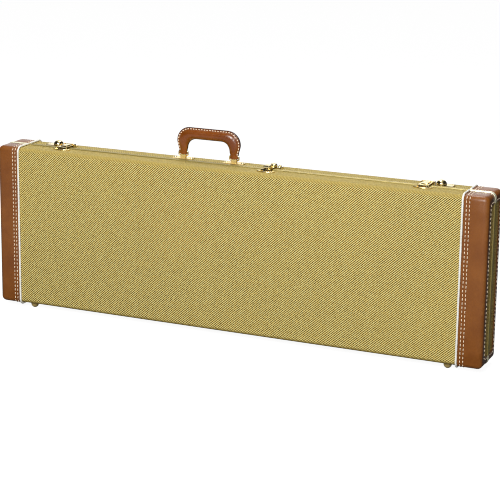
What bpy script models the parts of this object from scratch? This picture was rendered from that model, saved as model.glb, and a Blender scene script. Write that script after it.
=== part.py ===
"""A rectangular hard-shell guitar case, standing on the feet of its spine with the handle on top.

Frame: +X along the case, +Y from the lid side to the base side, +Z up. The origin is at the bottom centre
of the object, on the plane that its feet stand on. Lengths are in metres.
"""

import math

import bmesh
import bpy
from mathutils import Matrix, Vector

# Driving dimensions of the closed box, over its leather
LENGTH = 1.100
HEIGHT = 0.350
DEPTH = 0.098
LID_DEPTH = 0.047
EDGE_RADIUS = 0.011
FOOT_HEIGHT = 0.011
GAP = 0.0003  # between pieces that touch on the real case

# Layers of a wall, from the outside in
LEATHER = 0.0012
TWEED = 0.0009
PLY = 0.0060
LINING = 0.0030
LINING_GAP = 0.0012
LEATHER_BOTTOM = LEATHER + GAP
TWEED_BOTTOM = LEATHER_BOTTOM + TWEED + GAP
PLY_BOTTOM = TWEED_BOTTOM + PLY
LINING_TOP = PLY_BOTTOM + LINING_GAP
LINING_BOTTOM = LINING_TOP + LINING

# Planes that the rest is placed from
X_END = LENGTH / 2
Y_FRONT = -DEPTH / 2
Y_BACK = DEPTH / 2
Y_PARTING = Y_FRONT + LID_DEPTH
Z_SPINE = FOOT_HEIGHT
Z_TOP = FOOT_HEIGHT + HEIGHT
Z_MIDDLE = (Z_SPINE + Z_TOP) / 2
Z_TWEED_TOP = Z_TOP - LEATHER_BOTTOM
Z_TWEED_SPINE = Z_SPINE + LEATHER_BOTTOM

# Metal valance round each rim
VALANCE_WIDTH = 0.0050
VALANCE_HALF_SLIT = 0.00015
TONGUE_THICKNESS = 0.0020
TONGUE_REACH = 0.0040

# Leather end caps and piping
CAP_WIDTH = 0.050
CAP_BORDER = 0.021
PIPING_RADIUS = 0.0018

# Handle
HANDLE_X = -0.076
HANDLE_Y = 0.020
HANDLE_PIVOT_Z = 0.3665
HANDLE_TOP_Z = 0.428
HANDLE_HALF_LENGTH = 0.073
HANDLE_WIDTH = 0.025
HANDLE_OUTER_BEND = 0.029
HANDLE_INNER_BEND = 0.019
HANDLE_THICKNESS = 0.017
HANDLE_END_THICKNESS = 0.0105
HANDLE_END_WIDTH = 0.0166
HANDLE_END_LIFT = 0.0047  # from the pivot up to the ends of the legs
HANDLE_END_STRAIGHT = 0.0066  # the narrow part of a leg that stands inside its loop
LOOP_X = 0.0587  # from the middle of the handle to the middle of a loop
LOOP_WIRE = 0.0018
LOOP_HALF_WIDTH = 0.0104
LOOP_RISE = 0.0090
LOOP_CORNER = 0.0025
HANDLE_PLATE = Vector((0.046, 0.018, 0.0016))
LUG_HALF_WIDTH = 0.0055
LUG_RADIUS = 0.0042

# Hinges on the spine
HINGE_XS = (-0.36, 0.0, 0.36)
HINGE_NAMES = ("left", "middle", "right")
HINGE_Z = 0.0082
HINGE_HALF_LENGTH = 0.030
HINGE_KNUCKLE = 0.0026
HINGE_PIN = 0.0012
HINGE_BORE = 0.0015
HINGE_LEAF_WIDTH = 0.014

# Hasps: a lens-shaped plate on the lid, and a strap that turns on its pin
HASP_AXIS_Z = 0.3637
HASP_KNUCKLE = 0.0022
HASP_KNUCKLE_LENGTH = 0.0047
HASP_PIN = 0.0010
HASP_BORE = 0.0013
HASP_PLATE = Vector((0.0205, 0.0085, 0.0014))  # half length, half width, thickness
STRAP_BOTTOM = HASP_AXIS_Z + 0.0002
STRAP_THICKNESS = 0.0018

# End latches: a hasp, and a lock body with a slide button
SIDE_HASP_X = 0.407
SIDE_HASP_Y = -0.020
SIDE_HASP_HALF_WIDTH = 0.011
SIDE_HASP_REACH = 0.0141
SIDE_BUTTON_X = 0.434
SIDE_BUTTON_RADIUS = 0.0105
SIDE_BUTTON_HEIGHT = 0.0095
SIDE_BUTTON_TRAVEL = 0.008
SIDE_LOCK_X = (0.391, 0.460)
SIDE_DECK = 0.0024
LOCK_Y = 0.0056
LOCK_DEPTH = 0.020
RECEIVER_HALF_WIDTH = 0.0145
RECEIVER_HEIGHT = 0.0072

# Middle lock: a hasp with a raised cover, and a lock body with a key cylinder and a small slide button
MIDDLE_HASP_X = 0.0735
MIDDLE_HASP_Y = -0.026
MIDDLE_HASP_HALF_WIDTH = 0.0078
MIDDLE_HASP_REACH = 0.0052
MIDDLE_COVER_REACH = -0.0065
MIDDLE_COVER_HEIGHT = 0.0085
MIDDLE_LOCK_X = (0.0575, 0.0945)
MIDDLE_LOCK_Y = 0.0036
MIDDLE_LOCK_DEPTH = 0.0175
MIDDLE_DECK = 0.0042
MIDDLE_BUTTON = Vector((0.0892, 0.0128))
MIDDLE_BUTTON_RADIUS = 0.0034
MIDDLE_BUTTON_HEIGHT = 0.0040
MIDDLE_BUTTON_TRAVEL = -0.003
KEY = Vector((0.0755, 0.0128))
KEY_RADIUS = 0.0072
KEY_HEIGHT = 0.0062
KEY_WELL_RADIUS = 0.0050

# Inside
INSERT_TOP_Y = 0.0040  # the plane that the foam blocks rise to
CRADLE = Vector((0.040, 0.124))
CRADLE_X = -0.330
CRADLE_TOP_Y = 0.0020
CRADLE_NOTCH_RADIUS = 0.02175
BOX_X = (-0.250, 0.030)
BOX_Z_LOW = 0.244
BOX_TOP_Y = 0.0042
BOX_WALL = 0.004
BOARD = 0.003
PULL_HALF_WIDTH = 0.007
PULL_THICKNESS = 0.0010
PULL_Z = (BOX_Z_LOW - 0.010, BOX_Z_LOW + 0.012)
PAD_X = (0.120, 0.440)
PAD_Z = (0.060, 0.312)
PAD_THICKNESS = 0.008

# Colours (linear RGB), roughness, metallic
FINISHES = {
    "plywood": ((0.35, 0.22, 0.12), 0.7, 0.0),
    "tweed": ((0.46, 0.34, 0.12), 0.85, 0.0),
    "leather": ((0.26, 0.095, 0.027), 0.42, 0.0),
    "piping": ((0.85, 0.83, 0.76), 0.4, 0.0),
    "brass": ((0.72, 0.50, 0.20), 0.22, 1.0),
    "plush": ((0.20, 0.065, 0.016), 0.95, 0.0),
    "ribbon": ((0.10, 0.02, 0.012), 0.6, 0.0),
}


def clear_scene():
    for item in list(bpy.data.objects):
        bpy.data.objects.remove(item)


def new_collection(name):
    collection = bpy.data.collections.new(name)
    bpy.context.scene.collection.children.link(collection)
    return collection


def make_materials():
    made = {}
    for name, (colour, roughness, metallic) in FINISHES.items():
        material = bpy.data.materials.new(name)
        material.use_nodes = True
        shader = material.node_tree.nodes["Principled BSDF"]
        shader.inputs["Base Color"].default_value = (*colour, 1.0)
        shader.inputs["Roughness"].default_value = roughness
        shader.inputs["Metallic"].default_value = metallic
        made[name] = material
    return made


clear_scene()
CASE = new_collection("guitar_case")
CUTTERS = new_collection("cutters")
MATERIALS = make_materials()


# ---------------------------------------------------------------- helpers

def add_object(name, data, finish=None):
    item = bpy.data.objects.new(name, data)
    if finish is None:
        CUTTERS.objects.link(item)
        item.hide_render = True
        item.display_type = "WIRE"
    else:
        CASE.objects.link(item)
        data.materials.append(MATERIALS[finish])
    return item


def mesh_from(bm, name):
    mesh = bpy.data.meshes.new(name)
    bm.to_mesh(mesh)
    bm.free()
    return mesh


def corner_cube(low, high):
    """A bmesh cube from its lowest to its highest corner."""
    low, high = Vector(low), Vector(high)
    bm = bmesh.new()
    bmesh.ops.create_cube(bm, size=1.0)
    size = high - low
    for vertex in bm.verts:
        vertex.co = Vector(a * b for a, b in zip(vertex.co, size)) + (low + high) / 2
    return bm


def add_bevel(item, width, segments):
    bevel = item.modifiers.new("round", "BEVEL")
    bevel.width = width
    bevel.segments = segments
    bevel.limit_method = "ANGLE"
    bevel.angle_limit = math.radians(40)


def box(name, low, high, finish=None, bevel=0.0, segments=1):
    item = add_object(name, mesh_from(corner_cube(low, high), name), finish)
    if bevel:
        add_bevel(item, bevel, segments)
    return item


def open_box(name, low, high, open_sides, thickness, radius, finish):
    """A thin-walled box that lacks the faces whose outward normals are listed in open_sides."""
    bm = corner_cube(low, high)
    bm.normal_update()
    gone = [f for f in bm.faces if any(f.normal.dot(Vector(side)) > 0.9 for side in open_sides)]
    bmesh.ops.delete(bm, geom=gone, context="FACES")
    item = add_object(name, mesh_from(bm, name), finish)
    if radius:
        add_bevel(item, radius, 3)
    solidify = item.modifiers.new("wall", "SOLIDIFY")
    solidify.thickness = thickness
    solidify.offset = -1.0
    solidify.use_even_offset = True
    return item


def bar_x(name, x_low, x_high, y, z, radius, finish=None, segments=12):
    """A round bar along X."""
    bm = bmesh.new()
    turn = Matrix.Translation(((x_low + x_high) / 2, y, z)) @ Matrix.Rotation(math.pi / 2, 4, "Y")
    bmesh.ops.create_cone(bm, cap_ends=True, segments=segments, radius1=radius, radius2=radius,
                          depth=x_high - x_low, matrix=turn)
    return add_object(name, mesh_from(bm, name), finish)


def turned(name, profile, centre, finish=None, steps=16):
    """A solid turned about a vertical axis, from (radius, height) points that run from the top down."""
    bm = bmesh.new()
    points = [bm.verts.new((radius, 0.0, height)) for radius, height in profile]
    for first, second in zip(points, points[1:]):
        bm.edges.new((first, second))
    item = add_object(name, mesh_from(bm, name), finish)
    item.location = centre
    screw = item.modifiers.new("turn", "SCREW")
    screw.steps = steps
    screw.render_steps = steps
    screw.use_merge_vertices = True
    screw.merge_threshold = 1e-5
    screw.use_smooth_shade = True
    return item


def weld_to_mesh(item):
    """The same object with a welded mesh in place of its curve, so that Booleans can use it."""
    bpy.context.view_layer.update()
    graph = bpy.context.evaluated_depsgraph_get()
    mesh = bpy.data.meshes.new_from_object(item.evaluated_get(graph))
    bm = bmesh.new()
    bm.from_mesh(mesh)
    bmesh.ops.remove_doubles(bm, verts=bm.verts, dist=1e-6)
    bm.to_mesh(mesh)
    bm.free()
    name, homes, matrix = item.name, item.users_collection, item.matrix_world.copy()
    hidden, display = item.hide_render, item.display_type
    bpy.data.objects.remove(item)
    welded = bpy.data.objects.new(name, mesh)
    homes[0].objects.link(welded)
    welded.matrix_world = matrix
    welded.hide_render = hidden
    welded.display_type = display
    return welded


def boolean(target, tool, operation):
    modifier = target.modifiers.new(operation.lower(), "BOOLEAN")
    modifier.operation = operation
    modifier.object = tool
    modifier.solver = "EXACT"


def cut(target, *tools):
    for tool in tools:
        boolean(target, tool, "DIFFERENCE")


def join(target, *tools):
    for tool in tools:
        boolean(target, tool, "UNION")


def arc(centre, radius, start, end, steps):
    """Points round a centre in a plane, with angles in degrees."""
    angles = [math.radians(start + (end - start) * i / steps) for i in range(steps + 1)]
    return [(centre[0] + radius * math.cos(a), centre[1] + radius * math.sin(a)) for a in angles]


def rounded_rectangle(half_x, z_low, z_high, radius, steps=4):
    """The outline of a rectangle with round corners, in X and Z."""
    points = []
    for x_sign, z, start in ((1, z_high - radius, 0), (-1, z_high - radius, 90),
                             (-1, z_low + radius, 180), (1, z_low + radius, 270)):
        points += arc((x_sign * (half_x - radius), z), radius, start, start + 90, steps)
    return points


def flat_outline(name, outlines, y_low, y_high, finish=None):
    """Outlines in X and Z, filled between them and given depth along Y."""
    curve = bpy.data.curves.new(name, "CURVE")
    curve.dimensions = "2D"
    curve.fill_mode = "BOTH"
    curve.extrude = (y_high - y_low) / 2
    for outline in outlines:
        spline = curve.splines.new("POLY")
        spline.points.add(len(outline) - 1)
        for point, (x, z) in zip(spline.points, outline):
            point.co = (x, z, 0.0, 1.0)
        spline.use_cyclic_u = True
    item = add_object(name, curve, finish)
    item.rotation_euler = (math.pi / 2, 0.0, 0.0)
    item.location = (0.0, (y_low + y_high) / 2, 0.0)
    return weld_to_mesh(item)


def lens_plate(name, x, y, z_low, size, finish):
    """A flat plate with a pointed lens for its outline; size is half length, half width and thickness."""
    steps = 10
    across = [2 * i / steps - 1 for i in range(steps)]
    outline = [(size.x * t, -size.y * (1 - t * t)) for t in across]
    outline += [(-px, -py) for px, py in outline]
    curve = bpy.data.curves.new(name, "CURVE")
    curve.dimensions = "2D"
    curve.fill_mode = "BOTH"
    curve.extrude = size.z / 2
    spline = curve.splines.new("POLY")
    spline.points.add(len(outline) - 1)
    for point, (px, py) in zip(spline.points, outline):
        point.co = (px, py, 0.0, 1.0)
    spline.use_cyclic_u = True
    item = add_object(name, curve, finish)
    item.location = (x, y, z_low + size.z / 2)
    return weld_to_mesh(item)


def tube(name, points, radius, finish, cyclic=False, resolution=2):
    curve = bpy.data.curves.new(name, "CURVE")
    curve.dimensions = "3D"
    curve.bevel_depth = radius
    curve.bevel_resolution = resolution
    curve.use_fill_caps = True
    spline = curve.splines.new("POLY")
    spline.points.add(len(points) - 1)
    for point, place in zip(spline.points, points):
        point.co = (*place, 1.0)
    spline.use_cyclic_u = cyclic
    return add_object(name, curve, finish)


def loft(name, rings, finish):
    """A solid through rings of as many points each, closed at both ends."""
    bm = bmesh.new()
    loops = [[bm.verts.new(place) for place in ring] for ring in rings]
    for first, second in zip(loops, loops[1:]):
        for i in range(len(first)):
            j = (i + 1) % len(first)
            bm.faces.new((first[i], first[j], second[j], second[i]))
    bm.faces.new(loops[0])
    bm.faces.new(loops[-1])
    bmesh.ops.recalc_face_normals(bm, faces=bm.faces)
    mesh = mesh_from(bm, name)
    mesh.shade_smooth()
    return add_object(name, mesh, finish)


# ---------------------------------------------------------------- the two shells

HALVES = {
    "base": {"y": (Y_PARTING, Y_BACK), "toward_rim": -1},
    "lid": {"y": (Y_FRONT, Y_PARTING), "toward_rim": 1},
}


def tray(name, half, inset, rim_gap, thickness, radius, finish):
    """One layer of a half: an open box inset from the leather surface, open at the parting plane."""
    y_low, y_high = HALVES[half]["y"]
    side = HALVES[half]["toward_rim"]
    if side < 0:
        y_low, y_high = y_low + rim_gap, y_high - inset
    else:
        y_low, y_high = y_low + inset, y_high - rim_gap
    low = (-X_END + inset, y_low, Z_SPINE + inset)
    high = (X_END - inset, y_high, Z_TOP - inset)
    return open_box(name, low, high, [(0, side, 0)], thickness, radius, finish)


def make_shell(half):
    """The plywood tray, its tweed cover and its plush lining."""
    rim = VALANCE_WIDTH + GAP
    tray(f"{half}_shell", half, TWEED_BOTTOM, rim, PLY, EDGE_RADIUS - TWEED_BOTTOM, "plywood")
    tray(f"{half}_tweed_cover", half, LEATHER_BOTTOM, rim, TWEED, EDGE_RADIUS - LEATHER_BOTTOM, "tweed")
    tray(f"{half}_lining", half, LINING_TOP, 0.001, LINING, 0.0, "plush")


def make_valance(half):
    """The metal strip round a rim. The base's has a tongue, which the lid's leaves room for."""
    side = HALVES[half]["toward_rim"]
    outer = rounded_rectangle(X_END, Z_SPINE, Z_TOP, EDGE_RADIUS)
    near = Y_PARTING - side * VALANCE_HALF_SLIT
    far = Y_PARTING - side * VALANCE_WIDTH
    inset = PLY_BOTTOM if half == "base" else PLY_BOTTOM - TONGUE_THICKNESS - GAP
    inner = rounded_rectangle(X_END - inset, Z_SPINE + inset, Z_TOP - inset, EDGE_RADIUS - inset)
    ring = flat_outline(f"{half}_valance", [outer, inner], min(near, far), max(near, far), "brass")
    if half == "base":
        edge = PLY_BOTTOM - TONGUE_THICKNESS
        outside = rounded_rectangle(X_END - edge, Z_SPINE + edge, Z_TOP - edge, EDGE_RADIUS - edge)
        inside = rounded_rectangle(X_END - PLY_BOTTOM, Z_SPINE + PLY_BOTTOM, Z_TOP - PLY_BOTTOM,
                                   EDGE_RADIUS - PLY_BOTTOM)
        join(ring, flat_outline("tongue", [outside, inside], Y_PARTING - TONGUE_REACH, far - 0.001))


def make_cap(half, side_name, x_sign):
    """A leather end cap: it wraps the broad face, top and spine, and leaves the middle of the end bare."""
    y_low, y_high = HALVES[half]["y"]
    side = HALVES[half]["toward_rim"]
    rim = VALANCE_WIDTH + GAP
    if side < 0:
        y_low += rim
    else:
        y_high -= rim
    xs = sorted((x_sign * (X_END - CAP_WIDTH), x_sign * X_END))
    cap = open_box(f"{half}_cap_{side_name}", (xs[0], y_low, Z_SPINE), (xs[1], y_high, Z_TOP),
                   [(0, side, 0), (-x_sign, 0, 0)], LEATHER, EDGE_RADIUS, "leather")
    window_low = Y_PARTING - 0.001 if side < 0 else Y_FRONT + CAP_BORDER
    window_high = Y_BACK - CAP_BORDER if side < 0 else Y_PARTING + 0.001
    reach = sorted((x_sign * (X_END - 0.005), x_sign * (X_END + 0.005)))
    cut(cap, box(f"{half}_{side_name}_end_window", (reach[0], window_low, Z_SPINE + CAP_BORDER),
                 (reach[1], window_high, Z_TOP - CAP_BORDER)))


def make_piping(half, side_name, x_sign):
    """The cord in the seam at a cap's inner edge, from rim to rim round the broad face."""
    lift = PIPING_RADIUS + GAP - LEATHER_BOTTOM
    radius = EDGE_RADIUS + lift
    x = x_sign * (X_END - CAP_WIDTH - PIPING_RADIUS - GAP)
    if half == "lid":
        face, inward = Y_FRONT, 1
    else:
        face, inward = Y_BACK, -1
    rim_y = Y_PARTING - inward * (VALANCE_WIDTH + 2 * GAP)
    bend_y = face + inward * EDGE_RADIUS
    upper = [(bend_y - inward * radius * math.sin(a), Z_TOP - EDGE_RADIUS + radius * math.cos(a))
             for a in (math.radians(18 * i) for i in range(6))]
    lower = [(y, Z_SPINE + Z_TOP - z) for y, z in reversed(upper)]
    route = [(rim_y, Z_TOP + lift)] + upper + lower + [(rim_y, Z_SPINE - lift)]
    tube(f"{half}_piping_{side_name}", [(x, y, z) for y, z in route], PIPING_RADIUS, "piping")


# ---------------------------------------------------------------- hardware on the spine

def make_foot(name, x, y):
    """A brass dome foot with a flange, flat at its tip."""
    top = Z_TWEED_SPINE - GAP
    dome = [(0.003 + 0.005 * math.sin(a), 0.0095 * (1 - math.cos(a)))
            for a in (math.radians(90 - 22.5 * i) for i in range(5))]
    profile = [(0.0, top), (0.0098, top), (0.0098, top - 0.0012), (0.0085, 0.0098)] + dome + [(0.0, 0.0)]
    turned(name, profile, (x, y, 0.0), "brass", steps=16)


def make_feet():
    for side_name, x_sign in (("left", -1), ("right", 1)):
        make_foot(f"lid_foot_{side_name}", x_sign * 0.475, Y_FRONT + 0.022)
        make_foot(f"base_foot_{side_name}", x_sign * 0.475, Y_BACK - 0.022)


def make_hinge(name, x):
    """A butt hinge across the parting line: the base leaf has the end knuckles, the lid leaf the middle."""
    third = HINGE_HALF_LENGTH / 3
    knuckles = {
        "base": ((-HINGE_HALF_LENGTH, -third - GAP), (third + GAP, HINGE_HALF_LENGTH)),
        "lid": ((-third, third),),
    }
    for half, spans in knuckles.items():
        out = 1 if half == "base" else -1
        ledge = Y_PARTING + out * 0.003
        start = Y_PARTING + out * (VALANCE_WIDTH + 2 * GAP)
        end = start + out * HINGE_LEAF_WIDTH
        leaf = box(f"hinge_{half}_leaf_{name}",
                   (x - HINGE_HALF_LENGTH, min(start, end), 0.0097),
                   (x + HINGE_HALF_LENGTH, max(start, end), Z_TWEED_SPINE - GAP), "brass")
        bridge_end = start + out * 0.001
        join(leaf, box(f"bridge_{half}_{name}",
                       (x - HINGE_HALF_LENGTH, min(ledge, bridge_end), 0.0095),
                       (x + HINGE_HALF_LENGTH, max(ledge, bridge_end), 0.0106)))
        for i, (low, high) in enumerate(spans):
            root = Y_PARTING + out * 0.0005
            tip = Y_PARTING + out * 0.004
            arm = box(f"arm_{half}_{name}_{i}", (x + low, min(root, tip), 0.0095),
                      (x + high, max(root, tip), 0.0106))
            knuckle = bar_x(f"knuckle_{half}_{name}_{i}", x + low, x + high, Y_PARTING, HINGE_Z,
                            HINGE_KNUCKLE)
            join(leaf, arm, knuckle)
        cut(leaf, bar_x(f"bore_{half}_{name}", x - 0.05, x + 0.05, Y_PARTING, HINGE_Z, HINGE_BORE))
    bar_x(f"hinge_pin_{name}", x - HINGE_HALF_LENGTH, x + HINGE_HALF_LENGTH, Y_PARTING, HINGE_Z, HINGE_PIN,
          "brass")


# ---------------------------------------------------------------- handle

def handle_outlines():
    """Pairs of points on the grip's outer and inner outline, up one leg and round its bend to the middle."""
    inner_half = HANDLE_HALF_LENGTH - HANDLE_WIDTH
    bend_z = HANDLE_TOP_Z - HANDLE_OUTER_BEND
    inner_bend_z = HANDLE_TOP_Z - HANDLE_WIDTH - HANDLE_INNER_BEND
    end_z = HANDLE_PIVOT_Z + HANDLE_END_LIFT
    straight_z = end_z + HANDLE_END_STRAIGHT
    edges = -LOOP_X - HANDLE_END_WIDTH / 2, -LOOP_X + HANDLE_END_WIDTH / 2
    pairs = [((edges[0], z), (edges[1], z)) for z in (end_z, straight_z)]
    pairs.append((((0.4 * edges[0] - 0.6 * HANDLE_HALF_LENGTH), 0.6 * straight_z + 0.4 * bend_z),
                  ((0.5 * edges[1] - 0.5 * inner_half), 0.5 * straight_z + 0.5 * inner_bend_z)))
    outer = arc((HANDLE_OUTER_BEND - HANDLE_HALF_LENGTH, bend_z), HANDLE_OUTER_BEND, 180, 90, 6)
    inner = arc((HANDLE_INNER_BEND - inner_half, inner_bend_z), HANDLE_INNER_BEND, 180, 90, 6)
    return pairs + list(zip(outer, inner))


def handle_ring(outer, inner, steps=12):
    """An oval section between two points of the outlines."""
    end_z, grip_z = HANDLE_PIVOT_Z + HANDLE_END_LIFT, HANDLE_TOP_Z - HANDLE_WIDTH
    centre = (Vector(outer) + Vector(inner)) / 2
    reach = (Vector(outer) - Vector(inner)) / 2
    share = min(1.0, (centre.y - end_z) / (grip_z - end_z))
    thickness = HANDLE_END_THICKNESS + (HANDLE_THICKNESS - HANDLE_END_THICKNESS) * share
    ring = []
    for i in range(steps):
        angle = 2 * math.pi * i / steps
        x, z = centre + reach * math.cos(angle)
        ring.append((HANDLE_X + x, HANDLE_Y + thickness / 2 * math.sin(angle), z))
    return ring


def make_handle():
    """The padded leather grip, thinner towards the ends of its legs, which hold the loops' upper bars."""
    half = handle_outlines()
    mirrored = [((-outer[0], outer[1]), (-inner[0], inner[1])) for outer, inner in reversed(half)]
    grip = loft("handle_grip", [handle_ring(*pair) for pair in half + mirrored], "leather")
    for side_name, x_sign in (("left", -1), ("right", 1)):
        x = HANDLE_X + x_sign * LOOP_X
        cut(grip, bar_x(f"loop_hole_{side_name}", x - HANDLE_WIDTH, x + HANDLE_WIDTH, HANDLE_Y,
                        HANDLE_PIVOT_Z + LOOP_RISE, LOOP_WIRE + GAP))
        make_loop(f"handle_loop_{side_name}", x)
        make_handle_plate(f"handle_plate_{side_name}", x)


def make_loop(name, x):
    """A rectangular wire loop: its lower bar turns in the plate's lug, its upper bar holds the leather."""
    outline = []
    for x_sign, z, start in ((1, LOOP_RISE - LOOP_CORNER, 0), (-1, LOOP_RISE - LOOP_CORNER, 90),
                             (-1, LOOP_CORNER, 180), (1, LOOP_CORNER, 270)):
        outline += arc((x_sign * (LOOP_HALF_WIDTH - LOOP_CORNER), z), LOOP_CORNER, start, start + 90, 2)
    points = [(x + px, HANDLE_Y, HANDLE_PIVOT_Z + pz) for px, pz in outline]
    tube(name, points, LOOP_WIRE, "brass", cyclic=True)


def make_handle_plate(name, x):
    """A base plate with a lug, bored for the loop's lower bar."""
    half = HANDLE_PLATE / 2
    bottom = Z_TWEED_TOP + GAP
    plate = box(name, (x - half.x, HANDLE_Y - half.y, bottom), (x + half.x, HANDLE_Y + half.y,
                bottom + HANDLE_PLATE.z), "brass", bevel=0.0005)
    post = box(f"{name}_post", (x - LUG_HALF_WIDTH, HANDLE_Y - LUG_RADIUS, bottom + half.z),
               (x + LUG_HALF_WIDTH, HANDLE_Y + LUG_RADIUS, HANDLE_PIVOT_Z))
    eye = bar_x(f"{name}_eye", x - LUG_HALF_WIDTH, x + LUG_HALF_WIDTH, HANDLE_Y, HANDLE_PIVOT_Z, LUG_RADIUS)
    join(plate, post, eye)
    cut(plate, bar_x(f"{name}_bore", x - half.x, x + half.x, HANDLE_Y, HANDLE_PIVOT_Z, LOOP_WIRE + GAP))


# ---------------------------------------------------------------- latches

def make_hasp(name, x, axis_y, half_width, reach, cover=None):
    """The lid plate with its knuckles, the pin, and the strap that reaches over to the lock.

    cover, if given, is the Y that a raised cover on the strap ends at, and its height.
    """
    plate_low = Z_TWEED_TOP + GAP
    inner = half_width * 0.7
    plate = lens_plate(f"hasp_plate_{name}", x, axis_y, plate_low, HASP_PLATE, "brass")
    for i, sign in enumerate((-1, 1)):
        ends = sorted((x + sign * (inner + GAP), x + sign * (inner + HASP_KNUCKLE_LENGTH)))
        post = box(f"plate_post_{name}_{i}", (ends[0], axis_y - 0.0018, plate_low + HASP_PLATE.z / 2),
                   (ends[1], axis_y + 0.0018, HASP_AXIS_Z))
        knuckle = bar_x(f"plate_knuckle_{name}_{i}", ends[0], ends[1], axis_y, HASP_AXIS_Z, HASP_KNUCKLE)
        join(plate, post, knuckle)
    across = (x - 2 * half_width, x + 2 * half_width)
    cut(plate, bar_x(f"plate_bore_{name}", *across, axis_y, HASP_AXIS_Z, HASP_BORE))
    bar_x(f"hasp_pin_{name}", x - inner - HASP_KNUCKLE_LENGTH, x + inner + HASP_KNUCKLE_LENGTH, axis_y,
          HASP_AXIS_Z, HASP_PIN, "brass", segments=10)
    root_y = axis_y + HASP_KNUCKLE + 0.0005
    hasp = box(f"hasp_{name}", (x - half_width, root_y, STRAP_BOTTOM),
               (x + half_width, reach, STRAP_BOTTOM + STRAP_THICKNESS), "brass", bevel=0.0004)
    neck = box(f"hasp_neck_{name}", (x - inner, axis_y, STRAP_BOTTOM + 0.0001),
               (x + inner, root_y + 0.0013, STRAP_BOTTOM + STRAP_THICKNESS - 0.0002))
    nose = box(f"hasp_nose_{name}", (x - half_width + 0.002, reach - 0.0022, HASP_AXIS_Z - 0.0018),
               (x + half_width - 0.002, reach - 0.0003, STRAP_BOTTOM + 0.001))
    knuckle = bar_x(f"hasp_knuckle_{name}", x - inner, x + inner, axis_y, HASP_AXIS_Z, HASP_KNUCKLE)
    join(hasp, neck, nose, knuckle)
    if cover:
        cover_end, height = cover
        join(hasp, box(f"hasp_cover_{name}", (x - half_width + GAP, root_y + GAP, STRAP_BOTTOM + 0.001),
                       (x + half_width - GAP, cover_end, STRAP_BOTTOM + height), bevel=0.0025, segments=3))
    cut(hasp, bar_x(f"hasp_bore_{name}", *across, axis_y, HASP_AXIS_Z, HASP_BORE))


def dome_profile(radius, low, high, brim=0.0012):
    """A domed button from its crown to the centre of its flat base."""
    rise = high - low - brim
    curve = [(radius * math.sin(a), low + brim + rise * math.cos(a))
             for a in (math.radians(18 * i) for i in range(6))]
    return curve + [(radius, low), (0.0, low)]


def make_button(name, x, y, deck, radius, height, travel):
    """A domed slide button, with the stem that runs in the slot of the lock body, and that slot's cutter."""
    stem = Vector((min(0.003, radius * 0.6), 0.0024))
    slack = 0.0004
    button = turned(name, dome_profile(radius, 0.0, height), (x, y, deck + GAP), "brass")
    join(button, box(f"{name}_stem", (x - stem.x, y - stem.y, Z_TWEED_TOP + 2 * GAP),
                     (x + stem.x, y + stem.y, deck + 0.001)))
    side = math.copysign(stem.x + slack, travel)
    low, high = sorted((x - side, x + travel + side))
    return box(f"{name}_slot", (low, y - stem.y - slack, Z_TWEED_TOP),
               (high, y + stem.y + slack, deck + 0.002))


def make_side_latch(name, x_sign):
    """An end latch: the hasp on the inner side, the slide button on the outer side."""
    hasp_x = x_sign * SIDE_HASP_X
    reach = SIDE_HASP_REACH
    make_hasp(name, hasp_x, SIDE_HASP_Y, SIDE_HASP_HALF_WIDTH, reach)
    low = Z_TWEED_TOP + GAP
    deck = low + SIDE_DECK
    ends = sorted(x_sign * x for x in SIDE_LOCK_X)
    body = box(f"lock_body_{name}", (ends[0], LOCK_Y, low), (ends[1], LOCK_Y + LOCK_DEPTH, deck), "brass",
               bevel=0.0006)
    join(body, box(f"receiver_{name}", (hasp_x - RECEIVER_HALF_WIDTH, LOCK_Y + 0.0014, low + 0.001),
                   (hasp_x + RECEIVER_HALF_WIDTH, LOCK_Y + 0.0134, low + RECEIVER_HEIGHT), bevel=0.0012))
    slot = make_button(f"slide_button_{name}", x_sign * SIDE_BUTTON_X, LOCK_Y + LOCK_DEPTH / 2, deck,
                       SIDE_BUTTON_RADIUS, SIDE_BUTTON_HEIGHT, x_sign * SIDE_BUTTON_TRAVEL)
    cut(body, slot, make_pocket(name, hasp_x, LOCK_Y, SIDE_HASP_HALF_WIDTH, reach))


def make_pocket(name, x, front, half_width, reach):
    """The space in a lock body that its hasp comes down into."""
    low = Z_TWEED_TOP + GAP
    half = half_width + 0.0006
    return box(f"pocket_{name}", (x - half, front - 0.002, low + 0.0016),
               (x + half, reach + 0.0006, low + 0.02))


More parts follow.
